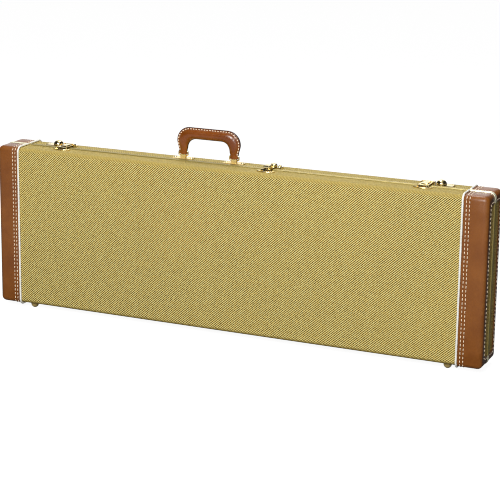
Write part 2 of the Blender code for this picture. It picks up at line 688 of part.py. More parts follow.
def make_middle_lock():
    """The key lock: a short hasp in front, a key cylinder and a small slide button behind it."""
    make_hasp("middle", MIDDLE_HASP_X, MIDDLE_HASP_Y, MIDDLE_HASP_HALF_WIDTH, MIDDLE_HASP_REACH,
              (MIDDLE_COVER_REACH, MIDDLE_COVER_HEIGHT))
    low = Z_TWEED_TOP + GAP
    deck = low + MIDDLE_DECK
    body = box("lock_body_middle", (MIDDLE_LOCK_X[0], MIDDLE_LOCK_Y, low),
               (MIDDLE_LOCK_X[1], MIDDLE_LOCK_Y + MIDDLE_LOCK_DEPTH, deck), "brass", bevel=0.0008)
    slot = make_button("slide_button_middle", *MIDDLE_BUTTON, deck, MIDDLE_BUTTON_RADIUS,
                       MIDDLE_BUTTON_HEIGHT, MIDDLE_BUTTON_TRAVEL)
    pocket = make_pocket("middle", MIDDLE_HASP_X, MIDDLE_LOCK_Y, MIDDLE_HASP_HALF_WIDTH, MIDDLE_HASP_REACH)
    floor = low + 0.001
    well = turned("key_well", [(0.0, deck + 0.002), (KEY_WELL_RADIUS, deck + 0.002),
                               (KEY_WELL_RADIUS, floor), (0.0, floor)], (*KEY, 0.0))
    cut(body, slot, pocket, well)
    top = deck + KEY_HEIGHT
    shaft = KEY_WELL_RADIUS - GAP
    profile = [(0.0, top), (0.0048, top), (0.0066, top - 0.0012), (KEY_RADIUS, top - 0.0034),
               (KEY_RADIUS, deck + GAP), (shaft, deck + GAP), (shaft, floor + 0.0004), (0.0, floor + 0.0004)]
    cylinder = turned("key_cylinder", profile, (*KEY, 0.0), "brass")
    cut(cylinder, box("key_slot", (KEY.x - 0.0006, KEY.y - 0.0032, top - 0.0022),
                      (KEY.x + 0.0006, KEY.y + 0.0032, top + 0.005)))


# ---------------------------------------------------------------- inside

Y_FLOOR = Y_BACK - LINING_BOTTOM - GAP  # the base lining's inner face, less the gap
Z_INSIDE_LOW = Z_SPINE + LINING_BOTTOM + GAP
Z_INSIDE_HIGH = Z_TOP - LINING_BOTTOM - GAP
X_INSIDE = X_END - LINING_BOTTOM - GAP


def make_neck_cradle():
    """A padded block with a half-round notch that carries the neck."""
    half = CRADLE / 2
    block = box("neck_cradle", (CRADLE_X - half.x, CRADLE_TOP_Y, Z_MIDDLE - half.y),
                (CRADLE_X + half.x, Y_FLOOR, Z_MIDDLE + half.y), "plush", bevel=0.004, segments=2)
    cut(block, bar_x("neck_notch", CRADLE_X - CRADLE.x, CRADLE_X + CRADLE.x, CRADLE_TOP_Y, Z_MIDDLE,
                     CRADLE_NOTCH_RADIUS, segments=16))


def make_blocks():
    """Foam blocks that shape the body bay: one at the waist, two in the corners at the tail."""
    hollow = arc((0.115, 0.150), 0.090, 180, 240, 8)
    waist = [(-0.110, Z_INSIDE_LOW), (-0.110, 0.085), (-0.060, 0.110), (-0.005, 0.118)] + hollow
    waist.append((0.085, Z_INSIDE_LOW))
    flat_outline("waist_block", [waist], INSERT_TOP_Y, Y_FLOOR, "plush")
    centre_x, radius = 0.360, 0.160
    for name, sign in (("upper", 1), ("lower", -1)):
        edge = Z_INSIDE_HIGH if sign > 0 else Z_INSIDE_LOW
        bend = arc((centre_x, Z_MIDDLE), radius, sign * 68, sign * 20, 8)
        outline = bend + [(X_INSIDE, bend[-1][1]), (X_INSIDE, edge), (bend[0][0], edge)]
        flat_outline(f"tail_block_{name}", [outline], INSERT_TOP_Y, Y_FLOOR, "plush")


def make_compartment():
    """The accessory compartment beside the neck, its hinged lid and the ribbon that lifts it."""
    open_box("accessory_box", (BOX_X[0], BOX_TOP_Y, BOX_Z_LOW), (BOX_X[1], Y_FLOOR, Z_INSIDE_HIGH),
             [(0, -1, 0)], BOX_WALL, 0.0, "plush")
    lid_y = (BOX_TOP_Y - GAP - BOARD, BOX_TOP_Y - GAP)
    box("compartment_lid", (BOX_X[0] + 0.001, lid_y[0], BOX_Z_LOW), (BOX_X[1] - 0.001, lid_y[1],
        Z_INSIDE_HIGH - 0.001), "plush", bevel=0.001)
    middle = (BOX_X[0] + BOX_X[1]) / 2
    box("compartment_pull", (middle - PULL_HALF_WIDTH, lid_y[0] - GAP - PULL_THICKNESS, PULL_Z[0]),
        (middle + PULL_HALF_WIDTH, lid_y[0] - GAP, PULL_Z[1]), "ribbon")


def make_lid_pad():
    """The foam pad in the lid that presses on the guitar's body."""
    y_low = Y_FRONT + LINING_BOTTOM + GAP
    box("lid_pad", (PAD_X[0], y_low, PAD_Z[0]), (PAD_X[1], y_low + PAD_THICKNESS, PAD_Z[1]), "plush",
        bevel=0.003, segments=2)


def main():
    for half in HALVES:
        make_shell(half)
        make_valance(half)
        for side_name, x_sign in (("left", -1), ("right", 1)):
            make_cap(half, side_name, x_sign)
            make_piping(half, side_name, x_sign)
    make_feet()
    for name, x in zip(HINGE_NAMES, HINGE_XS):
        make_hinge(name, x)
    make_handle()
    make_side_latch("left", -1)
    make_side_latch("right", 1)
    make_middle_lock()
    make_neck_cradle()
    make_blocks()
    make_compartment()
    make_lid_pad()


main()
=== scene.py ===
"""Looks of a tweed guitar case with leather ends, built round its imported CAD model. Lengths are in metres."""

import math
import random

import bmesh
import bpy
import numpy as np
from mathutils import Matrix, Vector, noise


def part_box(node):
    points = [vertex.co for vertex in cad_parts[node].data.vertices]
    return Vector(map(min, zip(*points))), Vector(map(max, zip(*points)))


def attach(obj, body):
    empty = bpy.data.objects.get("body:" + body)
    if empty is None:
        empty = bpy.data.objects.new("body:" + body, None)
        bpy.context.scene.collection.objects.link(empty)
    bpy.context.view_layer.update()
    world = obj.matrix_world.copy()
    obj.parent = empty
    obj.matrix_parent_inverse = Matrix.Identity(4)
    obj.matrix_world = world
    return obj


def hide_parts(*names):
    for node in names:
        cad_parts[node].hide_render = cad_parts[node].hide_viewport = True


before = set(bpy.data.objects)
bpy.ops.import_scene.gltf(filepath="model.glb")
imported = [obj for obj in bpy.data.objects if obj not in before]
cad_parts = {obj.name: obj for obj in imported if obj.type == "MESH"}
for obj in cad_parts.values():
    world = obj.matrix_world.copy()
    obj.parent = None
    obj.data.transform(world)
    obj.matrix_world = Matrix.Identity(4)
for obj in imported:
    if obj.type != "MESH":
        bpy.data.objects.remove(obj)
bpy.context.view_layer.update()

# ---------------- places taken from the CAD

BOX_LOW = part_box("lid_cap_left")[0]
BOX_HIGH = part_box("base_cap_right")[1]
X_END, Y_FRONT, Y_BACK = BOX_HIGH.x, BOX_LOW.y, BOX_HIGH.y
Z_SPINE, Z_TOP = BOX_LOW.z, BOX_HIGH.z
Z_MIDDLE, HALF_HEIGHT = (Z_SPINE + Z_TOP) / 2, (Z_TOP - Z_SPINE) / 2
PARTING_GAP = 0.00015  # from the parting plane to each valance
Y_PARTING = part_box("lid_valance")[1].y + PARTING_GAP
CAP_INNER_X = -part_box("lid_cap_left")[1].x
RIM_GAP = Y_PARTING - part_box("lid_cap_left")[1].y
TWEED_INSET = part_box("lid_tweed_cover")[0].y - Y_FRONT
HALVES = {"lid": (Y_FRONT, 1), "base": (Y_BACK, -1)}  # the broad face, and the way from it to the rim
SIDES = {"left": -1, "right": 1}
LOCKS = ("left", "middle", "right")

# ---------------- sizes of the looks

SHARP_ANGLE = math.radians(38)
SMOOTH_STEPS = 8  # segments of a bend in the shell
EDGE_RADIUS = 0.011
LEATHER_THICK = 0.0012
TWEED_THICK = 0.0009
CAP_BORDER = 0.021  # the leather round the end's bare window
WINDOW_RADIUS = 0.007
CUT_EDGE = 0.00035  # the rounding of a cap's cut edges
STITCH_LINES = (0.0056, 0.0119)  # how far outside a cap's inner edge its two rows of stitches lie
WINDOW_STITCH = 0.0045  # how far outside the window its row of stitches lies
WINDOW_STITCH_RADIUS = 0.009
CAP_STITCH = (0.0086, 0.0056, 0.00088)  # pitch, length, thread radius
GRIP_STITCH = (0.0062, 0.0041, 0.00110)
STITCH_TIMES = (-1.0, -0.86, -0.5, 0.0, 0.5, 0.86, 1.0)  # where along a stitch its rings lie
STITCH_SIDES = 7
STITCH_MARGIN = 0.002  # left free at both ends of a row
STITCH_RIM_GAP = RIM_GAP + 0.001
PIPING_SWELL = 1.2  # the cord against its CAD solid
PIPING_SUNK = 0.0012  # how far the cord is pressed into the leather and the cloth
PLY_INSET = 0.0087
LID_LIP, BASE_LIP = 0.0064, 0.0067  # how deep each valance's inner side lies
BEAD_RISE = 0.0010
BEAD_FAR = ((0.0, 0.0), (0.45, 0.0002), (0.85, 0.0010), (1.0, 0.0022))  # (share of the rise, way inward)
BEAD_NEAR = ((1.0, 0.0012), (0.7, 0.0004), (0.2, 0.0))

GRIP_LOW, GRIP_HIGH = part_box("handle_grip")
GRIP_X, GRIP_Y = (GRIP_LOW.x + GRIP_HIGH.x) / 2, (GRIP_LOW.y + GRIP_HIGH.y) / 2
GRIP_HALF = (GRIP_HIGH.x - GRIP_LOW.x) / 2
GRIP_WIDTH = 0.025
OUTER_BEND, INNER_BEND = 0.029, 0.019
LEG_STEPS, BEND_STEPS, BAR_STEPS = 12, 12, 6
END_STRAIGHT = 0.0066  # the narrow end of a leg, inside its loop
OUTER_PULL, INNER_PULL = 0.0048, 0.0018  # how far a leg's end is drawn in on each side
END_REACH = 0.0016  # how far the leather's cut ends hang below the stiff core
GRIP_STITCH_SHARE = 0.87
RIM_SHARE = 0.80  # where across the grip its stitched rim begins
RIM_THICK = 0.0021
ROLL_THICK, END_THICK = 0.0086, 0.0054
LOOP_THIN = 0.8  # the loop's wire against its CAD solid

HANDLE_PLATE_THICK, HASP_PLATE_THICK = 0.0016, 0.0014
LOCK_DECKS = {"left": 0.0024, "middle": 0.0042, "right": 0.0024}  # how high the deck of a lock body is
HANDLE_SCREW, HASP_SCREW, LOCK_SCREW, HINGE_SCREW = 0.0029, 0.0016, 0.0021, 0.0022  # radii of the heads
HANDLE_INSET, HASP_INSET, LOCK_INSET = 0.0045, 0.0075, 0.0036  # from a plate's end to its screw
HINGE_SCREW_Y, HINGE_FACE_Z = 0.0135, 0.0097  # from the parting plane, and the leaves' outer face
RIM_WIRE = 0.0012
BOSS_RISE, BOSS_ROUND = 0.0014, 0.0012
DOME_BRIM, DOME_STEPS = 0.0012, 12
STEM_RADIUS = 0.0024
FOOT_RADIUS, FOOT_DEPTH = 0.0085, 0.0094
CAD_EDGE = 0.00025  # the rounding of the metal pieces that the CAD gives

LINING_RADIUS, LINING_STEP, LINING_THICK = 0.0065, 0.016, 0.0030
ROLL_RADIUS = 0.0016  # the rolled edge of a lining
BLOCK_VOXEL, BLOCK_CROWN = 0.004, 0.0015
PAD_RADIUS, PAD_STEP, PAD_CROWN = 0.0035, 0.008, 0.0030
BOX_WALL, BOX_RADIUS, BOX_ROUND = 0.004, 0.003, 0.0015
FLAP_RADIUS, FLAP_STEP, FLAP_CROWN = 0.00149, 0.007, 0.0016
RIBBON_STEPS, RIBBON_THICK = 16, 0.0004


# ---------------- material helpers

class Graph:
    """Short calls for building the nodes of a material, or of the world."""

    def __init__(self, name, world=None):
        self.owner = world or bpy.data.materials.new(name)
        self.owner.use_nodes = True
        self.nodes, self.links = self.owner.node_tree.nodes, self.owner.node_tree.links
        self.shader = self.nodes["Background" if world else "Principled BSDF"]

    def node(self, kind, *values, **settings):
        """A new node, with values or links put into its first sockets."""
        made = self.nodes.new("ShaderNode" + kind)
        for key, value in settings.items():
            setattr(made, key, value)
        for socket, value in zip(made.inputs, values):
            self.put(socket, value)
        return made

    def put(self, socket, value):
        if isinstance(value, bpy.types.NodeSocket):
            self.links.new(value, socket)
        else:
            socket.default_value = value

    def set(self, **values):
        """Sets the shader's own sockets, by their names with _ for a space."""
        for key, value in values.items():
            self.put(self.shader.inputs[key.replace("_", " ")], value)

    def math(self, operation, *values):
        return self.node("Math", *values, operation=operation).outputs[0]

    def add(self, first, second):
        return self.math("ADD", first, second)

    def subtract(self, first, second):
        return self.math("SUBTRACT", first, second)

    def multiply(self, first, second):
        return self.math("MULTIPLY", first, second)

    def largest(self, first, second):
        return self.math("MAXIMUM", first, second)

    def absolute(self, value):
        return self.math("ABSOLUTE", value)

    def scaled(self, vector, scales):
        return self.node("VectorMath", vector, scales, operation="MULTIPLY").outputs[0]

    def split(self, vector):
        return self.node("SeparateXYZ", vector).outputs

    def coordinates(self, name="Object"):
        return self.node("TexCoord").outputs[name]

    def attribute(self, name, output):
        return self.node("Attribute", attribute_name=name).outputs[output]

    def facing(self):
        """How squarely the surface faces along one of the axes, and the three parts of its normal."""
        normal = self.split(self.coordinates("Normal"))
        x, y, z = (self.absolute(part) for part in normal)
        return self.largest(self.largest(x, y), z), normal

    def noise(self, vector, scale, detail=3.0, roughness=0.5):
        return self.node("TexNoise", vector, 0.0, scale, detail, roughness).outputs["Fac"]

    def voronoi(self, vector, scale, feature="F1"):
        return self.node("TexVoronoi", vector, 0.0, scale, feature=feature).outputs["Distance"]

    def white(self, *values):
        vector = self.node("CombineXYZ", *values).outputs[0]
        return self.node("TexWhiteNoise", vector).outputs["Value"]

    def spread(self, value, low, high, to_low=0.0, to_high=1.0, smooth=False):
        kind = "SMOOTHSTEP" if smooth else "LINEAR"
        return self.node("MapRange", value, low, high, to_low, to_high, interpolation_type=kind).outputs[0]

    def mix(self, share, first, second, kind="RGBA"):
        made = self.node("Mix", share, data_type=kind)
        place = {"FLOAT": 2, "RGBA": 6}[kind]  # the first of the two sockets for this kind of value
        self.put(made.inputs[place], first)
        self.put(made.inputs[place + 1], second)
        return made.outputs[{"FLOAT": 0, "RGBA": 2}[kind]]

    def bump(self, height, strength, distance, below=None):
        made = self.node("Bump", strength, distance)
        self.put(made.inputs["Height"], height)
        if below is not None:
            self.put(made.inputs["Normal"], below)
        return made.outputs[0]


def linear(red, green, blue):
    """An sRGB colour from 0 to 255, as linear RGBA."""
    parts = [v / 255 for v in (red, green, blue)]
    return (*[p / 12.92 if p <= 0.04045 else ((p + 0.055) / 1.055) ** 2.4 for p in parts], 1.0)


# ---------------- materials

THREAD_U = 0.00135  # a warp thread's width: four of them make the twill's 5.4 mm step along the case
THREAD_V = 0.00121  # a weft thread's width
TWEED_CREAM = linear(252, 220, 124), linear(255, 242, 162), linear(226, 190, 86)
TWEED_BROWN = linear(34, 20, 2), linear(60, 42, 8)
TWEED_END_SHADE = linear(190, 126, 40)  # a browner tone painted on the ends as shade, since they face away from the lights
TWEED_TOP_AND_BEND_SHADE = linear(168, 144, 72)  # a darker, duller tone painted as shade on the top face and over the bends
LEATHER_END_SHADE = linear(60, 30, 8)  # a painted shade for the leather on the case's ends, which face away from the lights
LEATHER_BURNT = linear(48, 20, 4)  # the tone of a burnished edge
GROOVE_HALF = 0.0019  # half the width of a stitched channel
PILLOW = 0.034, 0.004  # the leather bulges between these distances from the case's top and spine
RIB = 0.0011  # the spacing of the ribbon's ribs


def tweed_material():
    """A lacquered 2/2 twill: floats of two cream warps and two brown wefts, stepping up to the right."""
    g = Graph("tweed")
    u, v, end_shade = g.split(g.attribute("weave", "Vector"))
    place = g.coordinates()
    sway = g.noise(place, 9.0, 2.0)
    u = g.add(u, g.multiply(g.subtract(sway, 0.5), 0.0006))
    a, b = g.math("DIVIDE", u, THREAD_U), g.math("DIVIDE", v, THREAD_V)
    column, row = g.math("FLOOR", a), g.math("FLOOR", b)
    step = g.math("FLOORED_MODULO", g.subtract(column, row), 4.0)
    brown = g.math("LESS_THAN", step, 1.5)
    across_u = g.subtract(g.math("FRACT", a), 0.5)
    across_v = g.subtract(g.math("FRACT", b), 0.5)
    cream_along = g.subtract(g.subtract(step, 2.5), across_v)
    brown_along = g.add(g.subtract(step, 0.5), across_u)

    def thread_height(across, along):
        round_part = g.subtract(1.0, g.multiply(g.math("POWER", across, 2.0), 3.4))
        float_part = g.subtract(1.0, g.multiply(g.math("POWER", along, 2.0), 0.62))
        return g.multiply(g.math("SQRT", round_part), float_part)

    height = g.mix(brown, thread_height(across_u, cream_along),
                   g.multiply(thread_height(across_v, brown_along), 0.8), "FLOAT")
    thread = g.white(column, row, 0.0)
    strand = g.white(column, 7.0, 0.0)
    cloud = g.noise(place, 3.5, 3.0)
    fuzz = g.noise(place, 1600.0, 2.0)
    cream = g.mix(thread, TWEED_CREAM[0], TWEED_CREAM[1])
    cream = g.mix(g.spread(strand, 0.0, 1.0, 0.0, 0.22), cream, TWEED_CREAM[2])
    dark = g.mix(thread, TWEED_BROWN[0], TWEED_BROWN[1])
    colour = g.mix(brown, cream, dark)
    # painted shade in the dips along the threads' edges, toward the brown
    colour = g.mix(g.spread(height, 0.20, 0.70, 0.35, 0.0), colour, TWEED_BROWN[1])
    colour = g.mix(g.spread(cloud, 0.3, 0.7, 0.0, 0.10), colour, TWEED_CREAM[2])
    colour = g.mix(g.spread(fuzz, 0.35, 0.75, 0.0, 0.08), colour, TWEED_CREAM[1])
    # painted shade: the end faces are tinted browner, standing in for the shade on the sides that face away
    # from the lights
    colour = g.mix(g.multiply(end_shade, 0.2), colour, TWEED_END_SHADE)
    flat, normal = g.facing()
    # painted shade: the bends and the top face are tinted darker and duller
    bend_shade = g.spread(flat, 0.985, 0.93, 0.0, 0.6, True)
    upper = g.spread(normal[2], 0.93, 0.985, 0.0, 0.3, True)
    g.set(Base_Color=g.mix(g.largest(bend_shade, upper), colour, TWEED_TOP_AND_BEND_SHADE), Specular_IOR_Level=0.12,
          Roughness=g.spread(height, 0.2, 1.0, 0.75, 0.55), Normal=g.bump(height, 0.4, 0.0003))
    return g.owner


def leather_material(name, main, deep, pale, roughness, coat, grooves=(), edge=None):
    """Grained, waxed leather. grooves are the |x| of stitched channels, edge an attribute that darkens it."""
    g = Graph(name)
    place = g.coordinates()
    x, _, z = g.split(place)
    cloud = g.noise(place, 14.0, 4.0, 0.6)
    mottle = g.noise(place, 95.0, 4.0, 0.65)
    aside = g.node("VectorMath", place, (0.013, 0.007, 0.003), operation="ADD").outputs[0]
    pores = g.voronoi(aside, 620.0)
    creases = g.voronoi(place, 410.0, "DISTANCE_TO_EDGE")
    colour = g.mix(g.spread(cloud, 0.32, 0.72), main, deep)
    colour = g.mix(g.spread(mottle, 0.40, 0.75, 0.0, 0.30), colour, deep)
    # painted shade in the grain's creases
    colour = g.mix(g.spread(creases, 0.0, 0.05, 0.35, 0.0), colour, deep)
    flat, normal = g.facing()
    rubbed = g.multiply(g.spread(flat, 0.97, 0.78), g.spread(mottle, 0.45, 0.62, 0.1, 0.75))
    colour = g.mix(g.multiply(rubbed, 0.3), colour, pale)
    # painted shade on the end faces, which face away from the lights
    colour = g.mix(g.spread(g.absolute(normal[0]), 0.90, 0.99, 0.0, 0.6), colour, LEATHER_END_SHADE)
    height = g.add(g.spread(creases, 0.0, 0.09, 0.0, 0.8), g.multiply(pores, 0.35))
    surface = g.bump(height, 0.22, 0.00030)
    if grooves:
        channel = 1.0
        for line in grooves:
            away = g.absolute(g.subtract(g.absolute(x), line))
            channel = g.multiply(channel, g.spread(away, 0.0, GROOVE_HALF, 0.0, 1.0, True))
        # painted shade in the stitched channels beside the rows
        colour = g.mix(g.spread(channel, 0.0, 1.0, 0.70, 0.0), colour, deep)
        surface = g.bump(channel, 0.7, 0.0009, surface)
        reach = g.absolute(g.subtract(z, Z_MIDDLE))
        pillow = g.spread(reach, HALF_HEIGHT - PILLOW[0], HALF_HEIGHT - PILLOW[1], 1.0, 0.0, True)
        surface = g.bump(pillow, 1.0, 0.0026, surface)
    if edge:
        burnish = g.spread(g.attribute(edge, "Fac"), 0.25, 1.0, 0.0, 0.9, True)
        colour = g.mix(burnish, colour, LEATHER_BURNT)
    g.set(Base_Color=colour, Roughness=g.spread(mottle, 0.3, 0.7, roughness - 0.05, roughness + 0.08),
          Normal=surface, Specular_IOR_Level=0.35, Coat_Weight=coat[0], Coat_Roughness=coat[1])
    return g.owner


def brass_material(name, bright, dull, roughness, metallic=1.0, shade_over_cloth=None):
    """Polished metal with faint scratches and dull stains. shade_over_cloth is a painted shade: a darker,
    duller tone where it lies over the cloth.
    """
    g = Graph(name)
    place = g.coordinates()
    stain = g.noise(place, 60.0, 4.0, 0.6)
    scratch = g.noise(g.scaled(place, (1.0, 0.12, 1.0)), 1500.0, 2.0)
    colour = g.mix(g.spread(stain, 0.45, 0.75, 0.0, 0.55), bright, dull)
    if shade_over_cloth:
        x, _, z = g.split(place)
        window, fade = HALF_HEIGHT - CAP_BORDER, 0.004
        over_top = g.spread(g.absolute(x), CAP_INNER_X - fade, CAP_INNER_X, 1.0, 0.0)
        over_window = g.spread(g.absolute(g.subtract(z, Z_MIDDLE)), window, window + fade, 1.0, 0.0)
        # painted shade: the strip is darker and duller over the cloth, so it shines only across the caps
        colour = g.mix(g.largest(over_top, over_window), colour, shade_over_cloth)
    gloss = g.spread(stain, 0.35, 0.75, roughness, roughness + 0.14)
    gloss = g.add(gloss, g.spread(scratch, 0.5, 0.8, 0.0, 0.06))
    g.set(Base_Color=colour, Metallic=metallic, Roughness=gloss, Normal=g.bump(scratch, 0.08, 0.0001))
    return g.owner


def plush_material():
    """Short pile, brushed one way in patches."""
    g = Graph("plush")
    place = g.coordinates()
    brushed = g.noise(place, 11.0, 3.0, 0.55)
    pile = g.noise(place, 900.0, 3.0, 0.7)
    tuft = g.noise(g.scaled(place, (1.0, 1.0, 0.35)), 260.0, 3.0)
    colour = g.mix(g.spread(brushed, 0.28, 0.75), linear(144, 84, 40), linear(120, 66, 28))
    colour = g.mix(g.spread(pile, 0.35, 0.7, 0.0, 0.5), colour, linear(78, 40, 16))
    colour = g.mix(g.spread(tuft, 0.55, 0.8, 0.0, 0.3), colour, linear(176, 112, 58))
    height = g.add(g.multiply(pile, 0.6), g.multiply(tuft, 0.8))
    g.set(Base_Color=colour, Roughness=g.spread(brushed, 0.3, 0.7, 0.85, 1.0),
          Normal=g.bump(height, 0.75, 0.0012), Specular_IOR_Level=0.15,
          Sheen_Weight=0.65, Sheen_Roughness=0.38, Sheen_Tint=linear(226, 170, 118))
    return g.owner


def piping_material():
    """Smooth white vinyl with faint clouds and a fine surface."""
    g = Graph("piping_vinyl")
    place = g.coordinates()
    cloud = g.noise(place, 50.0, 4.0, 0.6)
    fine = g.noise(place, 900.0, 2.0)
    g.set(Base_Color=g.mix(g.spread(cloud, 0.35, 0.75), linear(250, 249, 243), linear(236, 232, 218)),
          Roughness=g.spread(fine, 0.3, 0.7, 0.25, 0.4), Normal=g.bump(fine, 0.2, 0.0001))
    return g.owner


def thread_material():
    """Linen thread with fine plies and a slow change of tone."""
    pale, dark = linear(255, 236, 208), linear(206, 170, 128)
    g = Graph("stitch_thread")
    place = g.coordinates()
    ply = g.noise(place, 1900.0, 2.0)
    tone = g.noise(place, 130.0, 2.0)
    colour = g.mix(g.spread(ply, 0.4, 0.7, 0.0, 0.45), pale, dark)
    g.set(Base_Color=g.mix(g.spread(tone, 0.4, 0.7, 0.0, 0.2), colour, dark),
          Roughness=g.spread(ply, 0.3, 0.7, 0.5, 0.8), Normal=g.bump(ply, 0.5, 0.0003))
    return g.owner


def ply_material():
    """Bare birch plywood, with a long grain and dark flecks."""
    g = Graph("plywood")
    place = g.coordinates()
    grain = g.noise(g.scaled(place, (1.0, 6.0, 9.0)), 24.0, 5.0, 0.6)
    fleck = g.noise(g.scaled(place, (0.3, 4.0, 4.0)), 240.0, 2.0)
    colour = g.mix(g.spread(grain, 0.3, 0.7), linear(196, 163, 118), linear(160, 122, 78))
    g.set(Base_Color=g.mix(g.spread(fleck, 0.55, 0.75, 0.0, 0.5), colour, linear(120, 86, 52)),
          Roughness=g.spread(grain, 0.3, 0.7, 0.6, 0.8), Normal=g.bump(fleck, 0.3, 0.0003))
    return g.owner


def ribbon_material():
    """Ribbed grosgrain ribbon."""
    g = Graph("ribbon")
    place = g.coordinates()
    rib = g.math("SINE", g.multiply(g.split(place)[2], 2 * math.pi / RIB))
    tone = g.noise(place, 300.0, 3.0)
    # painted light and shade: the ribs' crests are lighter and their troughs darker
    colour = g.mix(g.spread(rib, -1.0, 1.0), linear(92, 26, 14), linear(140, 46, 28))
    g.set(Base_Color=g.mix(g.spread(tone, 0.4, 0.7, 0.0, 0.3), colour, linear(58, 14, 10)),
          Roughness=g.spread(tone, 0.3, 0.7, 0.45, 0.65), Normal=g.bump(rib, 0.4, 0.0003))
    return g.owner


TWEED_M = tweed_material()
CAP_M = leather_material("cap_leather", linear(142, 84, 30), linear(116, 62, 16), linear(178, 120, 62),
                         0.36, (0.32, 0.32), grooves=[CAP_INNER_X + line for line in STITCH_LINES])
GRIP_M = leather_material("handle_leather", linear(138, 72, 12), linear(104, 48, 6), linear(174, 108, 46),
                          0.28, (0.60, 0.20), edge="burnish")
BRASS_M = brass_material("hardware_brass", linear(244, 226, 172), linear(204, 172, 104), 0.06)
VALANCE_M = brass_material("valance_brass", linear(255, 250, 216), linear(240, 228, 178), 0.30, 0.5,
                           linear(166, 149, 86))
# for the feet and handle plates: partly a real satin finish, partly painted light, brighter and less metallic
# so that the feet under the case still read bright
SATIN_LIT_BRASS_M = brass_material("satin_lit_brass", linear(255, 228, 152), linear(230, 190, 110), 0.22, 0.6)
STEEL_M = brass_material("pin_steel", linear(190, 188, 182), linear(140, 134, 122), 0.25)
PLUSH_M = plush_material()
PIPING_M = piping_material()
THREAD_M = thread_material()
PLY_M = ply_material()
RIBBON_M = ribbon_material()


# ---------------- mesh helpers

def box_of(node):
    """A CAD node's lowest corner, highest corner, middle and size."""
    low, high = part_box(node)
    return low, high, (low + high) / 2, high - low


def add_object(name, data):
    item = bpy.data.objects.new(name, data)
    bpy.context.scene.collection.objects.link(item)
    return item


def place_object(name, mesh, material, body, node=None):
    """Adds a mesh as a piece that rides on a CAD body and stands for a CAD node."""
    item = add_object(name, mesh)
    mesh.name = name
    mesh.materials.clear()
    mesh.materials.append(material)
    mesh.shade_smooth()
    mesh.set_sharp_from_angle(angle=SHARP_ANGLE)
    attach(item, body)
    if node:
        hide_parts(node)
    return item


def mesh_of(bm):
    mesh = bpy.data.meshes.new("mesh")
    bmesh.ops.recalc_face_normals(bm, faces=bm.faces)
    bm.to_mesh(mesh)
    bm.free()
    return mesh


def bmesh_of(mesh):
    """A bmesh with a mesh's shape, its doubled points joined."""
    bm = bmesh.new()
    bm.from_mesh(mesh)
    bmesh.ops.remove_doubles(bm, verts=bm.verts, dist=1e-6)
    return bm


def apply_all(item):
    """The object's mesh with its modifiers applied. The object itself is removed."""
    bpy.context.view_layer.update()
    graph = bpy.context.evaluated_depsgraph_get()
    mesh = bpy.data.meshes.new_from_object(item.evaluated_get(graph))
    bpy.data.objects.remove(item)
    return mesh


def scratch_object(bm):
    return add_object("scratch", mesh_of(bm))


def corner_cube(low, high):
    low, high = Vector(low), Vector(high)
    bm = bmesh.new()
    bmesh.ops.create_cube(bm, size=1.0)
    for vertex in bm.verts:
        vertex.co = Vector(a * b for a, b in zip(vertex.co, high - low)) + (low + high) / 2
    bm.normal_update()
    return bm


def remove_sides(bm, sides):
    """Deletes the faces of a box whose normals are in sides."""
    gone = [f for f in bm.faces if any(f.normal.dot(Vector(side)) > 0.9 for side in sides)]
    bmesh.ops.delete(bm, geom=gone, context="FACES")


def bevel(item, width, segments, angle=40):
    made = item.modifiers.new("round", "BEVEL")
    made.width, made.segments = width, segments
    made.limit_method, made.angle_limit = "ANGLE", math.radians(angle)


def solidify(item, thickness, offset=-1.0, even=False):
    wall = item.modifiers.new("wall", "SOLIDIFY")
    wall.thickness, wall.offset, wall.use_even_offset = thickness, offset, even


def subdivide(item):
    made = item.modifiers.new("rounder", "SUBSURF")
    made.levels = made.render_levels = 1


def open_box(low, high, open_sides, thickness, radius, segments=SMOOTH_STEPS):
    """A scratch object: a thin-walled rounded box that lacks its open sides."""
    bm = corner_cube(low, high)
    remove_sides(bm, open_sides)
    item = scratch_object(bm)
    bevel(item, radius, segments)
    solidify(item, thickness, even=True)
    return item


def rounded_rectangle(half_width, half_height, radius, steps=6):
    points = []
    for sx, sz, start in ((1, 1, 0), (-1, 1, 90), (-1, -1, 180), (1, -1, 270)):
        for i in range(steps + 1):
            a = math.radians(start + 90 * i / steps)
            points.append((sx * (half_width - radius) + radius * math.cos(a),
                           sz * (half_height - radius) + radius * math.sin(a)))
    return points


def bridge(bm, rings):
    """Joins each ring of points to the next with a band of faces, as many as the shortest ring has points."""
    count = min(len(ring) for ring in rings)
    for first, second in zip(rings, rings[1:]):
        for k in range(count):
            n = (k + 1) % count
            bm.faces.new((first[k], first[n], second[n], second[k]))


def loft(bm, rings):
    """A solid through rings of points, closed at both ends."""
    bridge(bm, rings)
    bm.faces.new(list(reversed(rings[0])))
    bm.faces.new(rings[-1])


def tube_mesh(points, radius, cyclic=False, resolution=4):
    """A tube along a path, closed at its ends."""
    curve = bpy.data.curves.new("tube", "CURVE")
    curve.dimensions = "3D"
    curve.bevel_depth, curve.bevel_resolution, curve.use_fill_caps = radius, resolution, True
    spline = curve.splines.new("POLY")
    spline.points.add(len(points) - 1)
    for point, place in zip(spline.points, points):
        point.co = (*place, 1.0)
    spline.use_cyclic_u = cyclic
    mesh = apply_all(add_object("tube", curve))
    bm = bmesh_of(mesh)
    bm.to_mesh(mesh)
    bm.free()
    return mesh


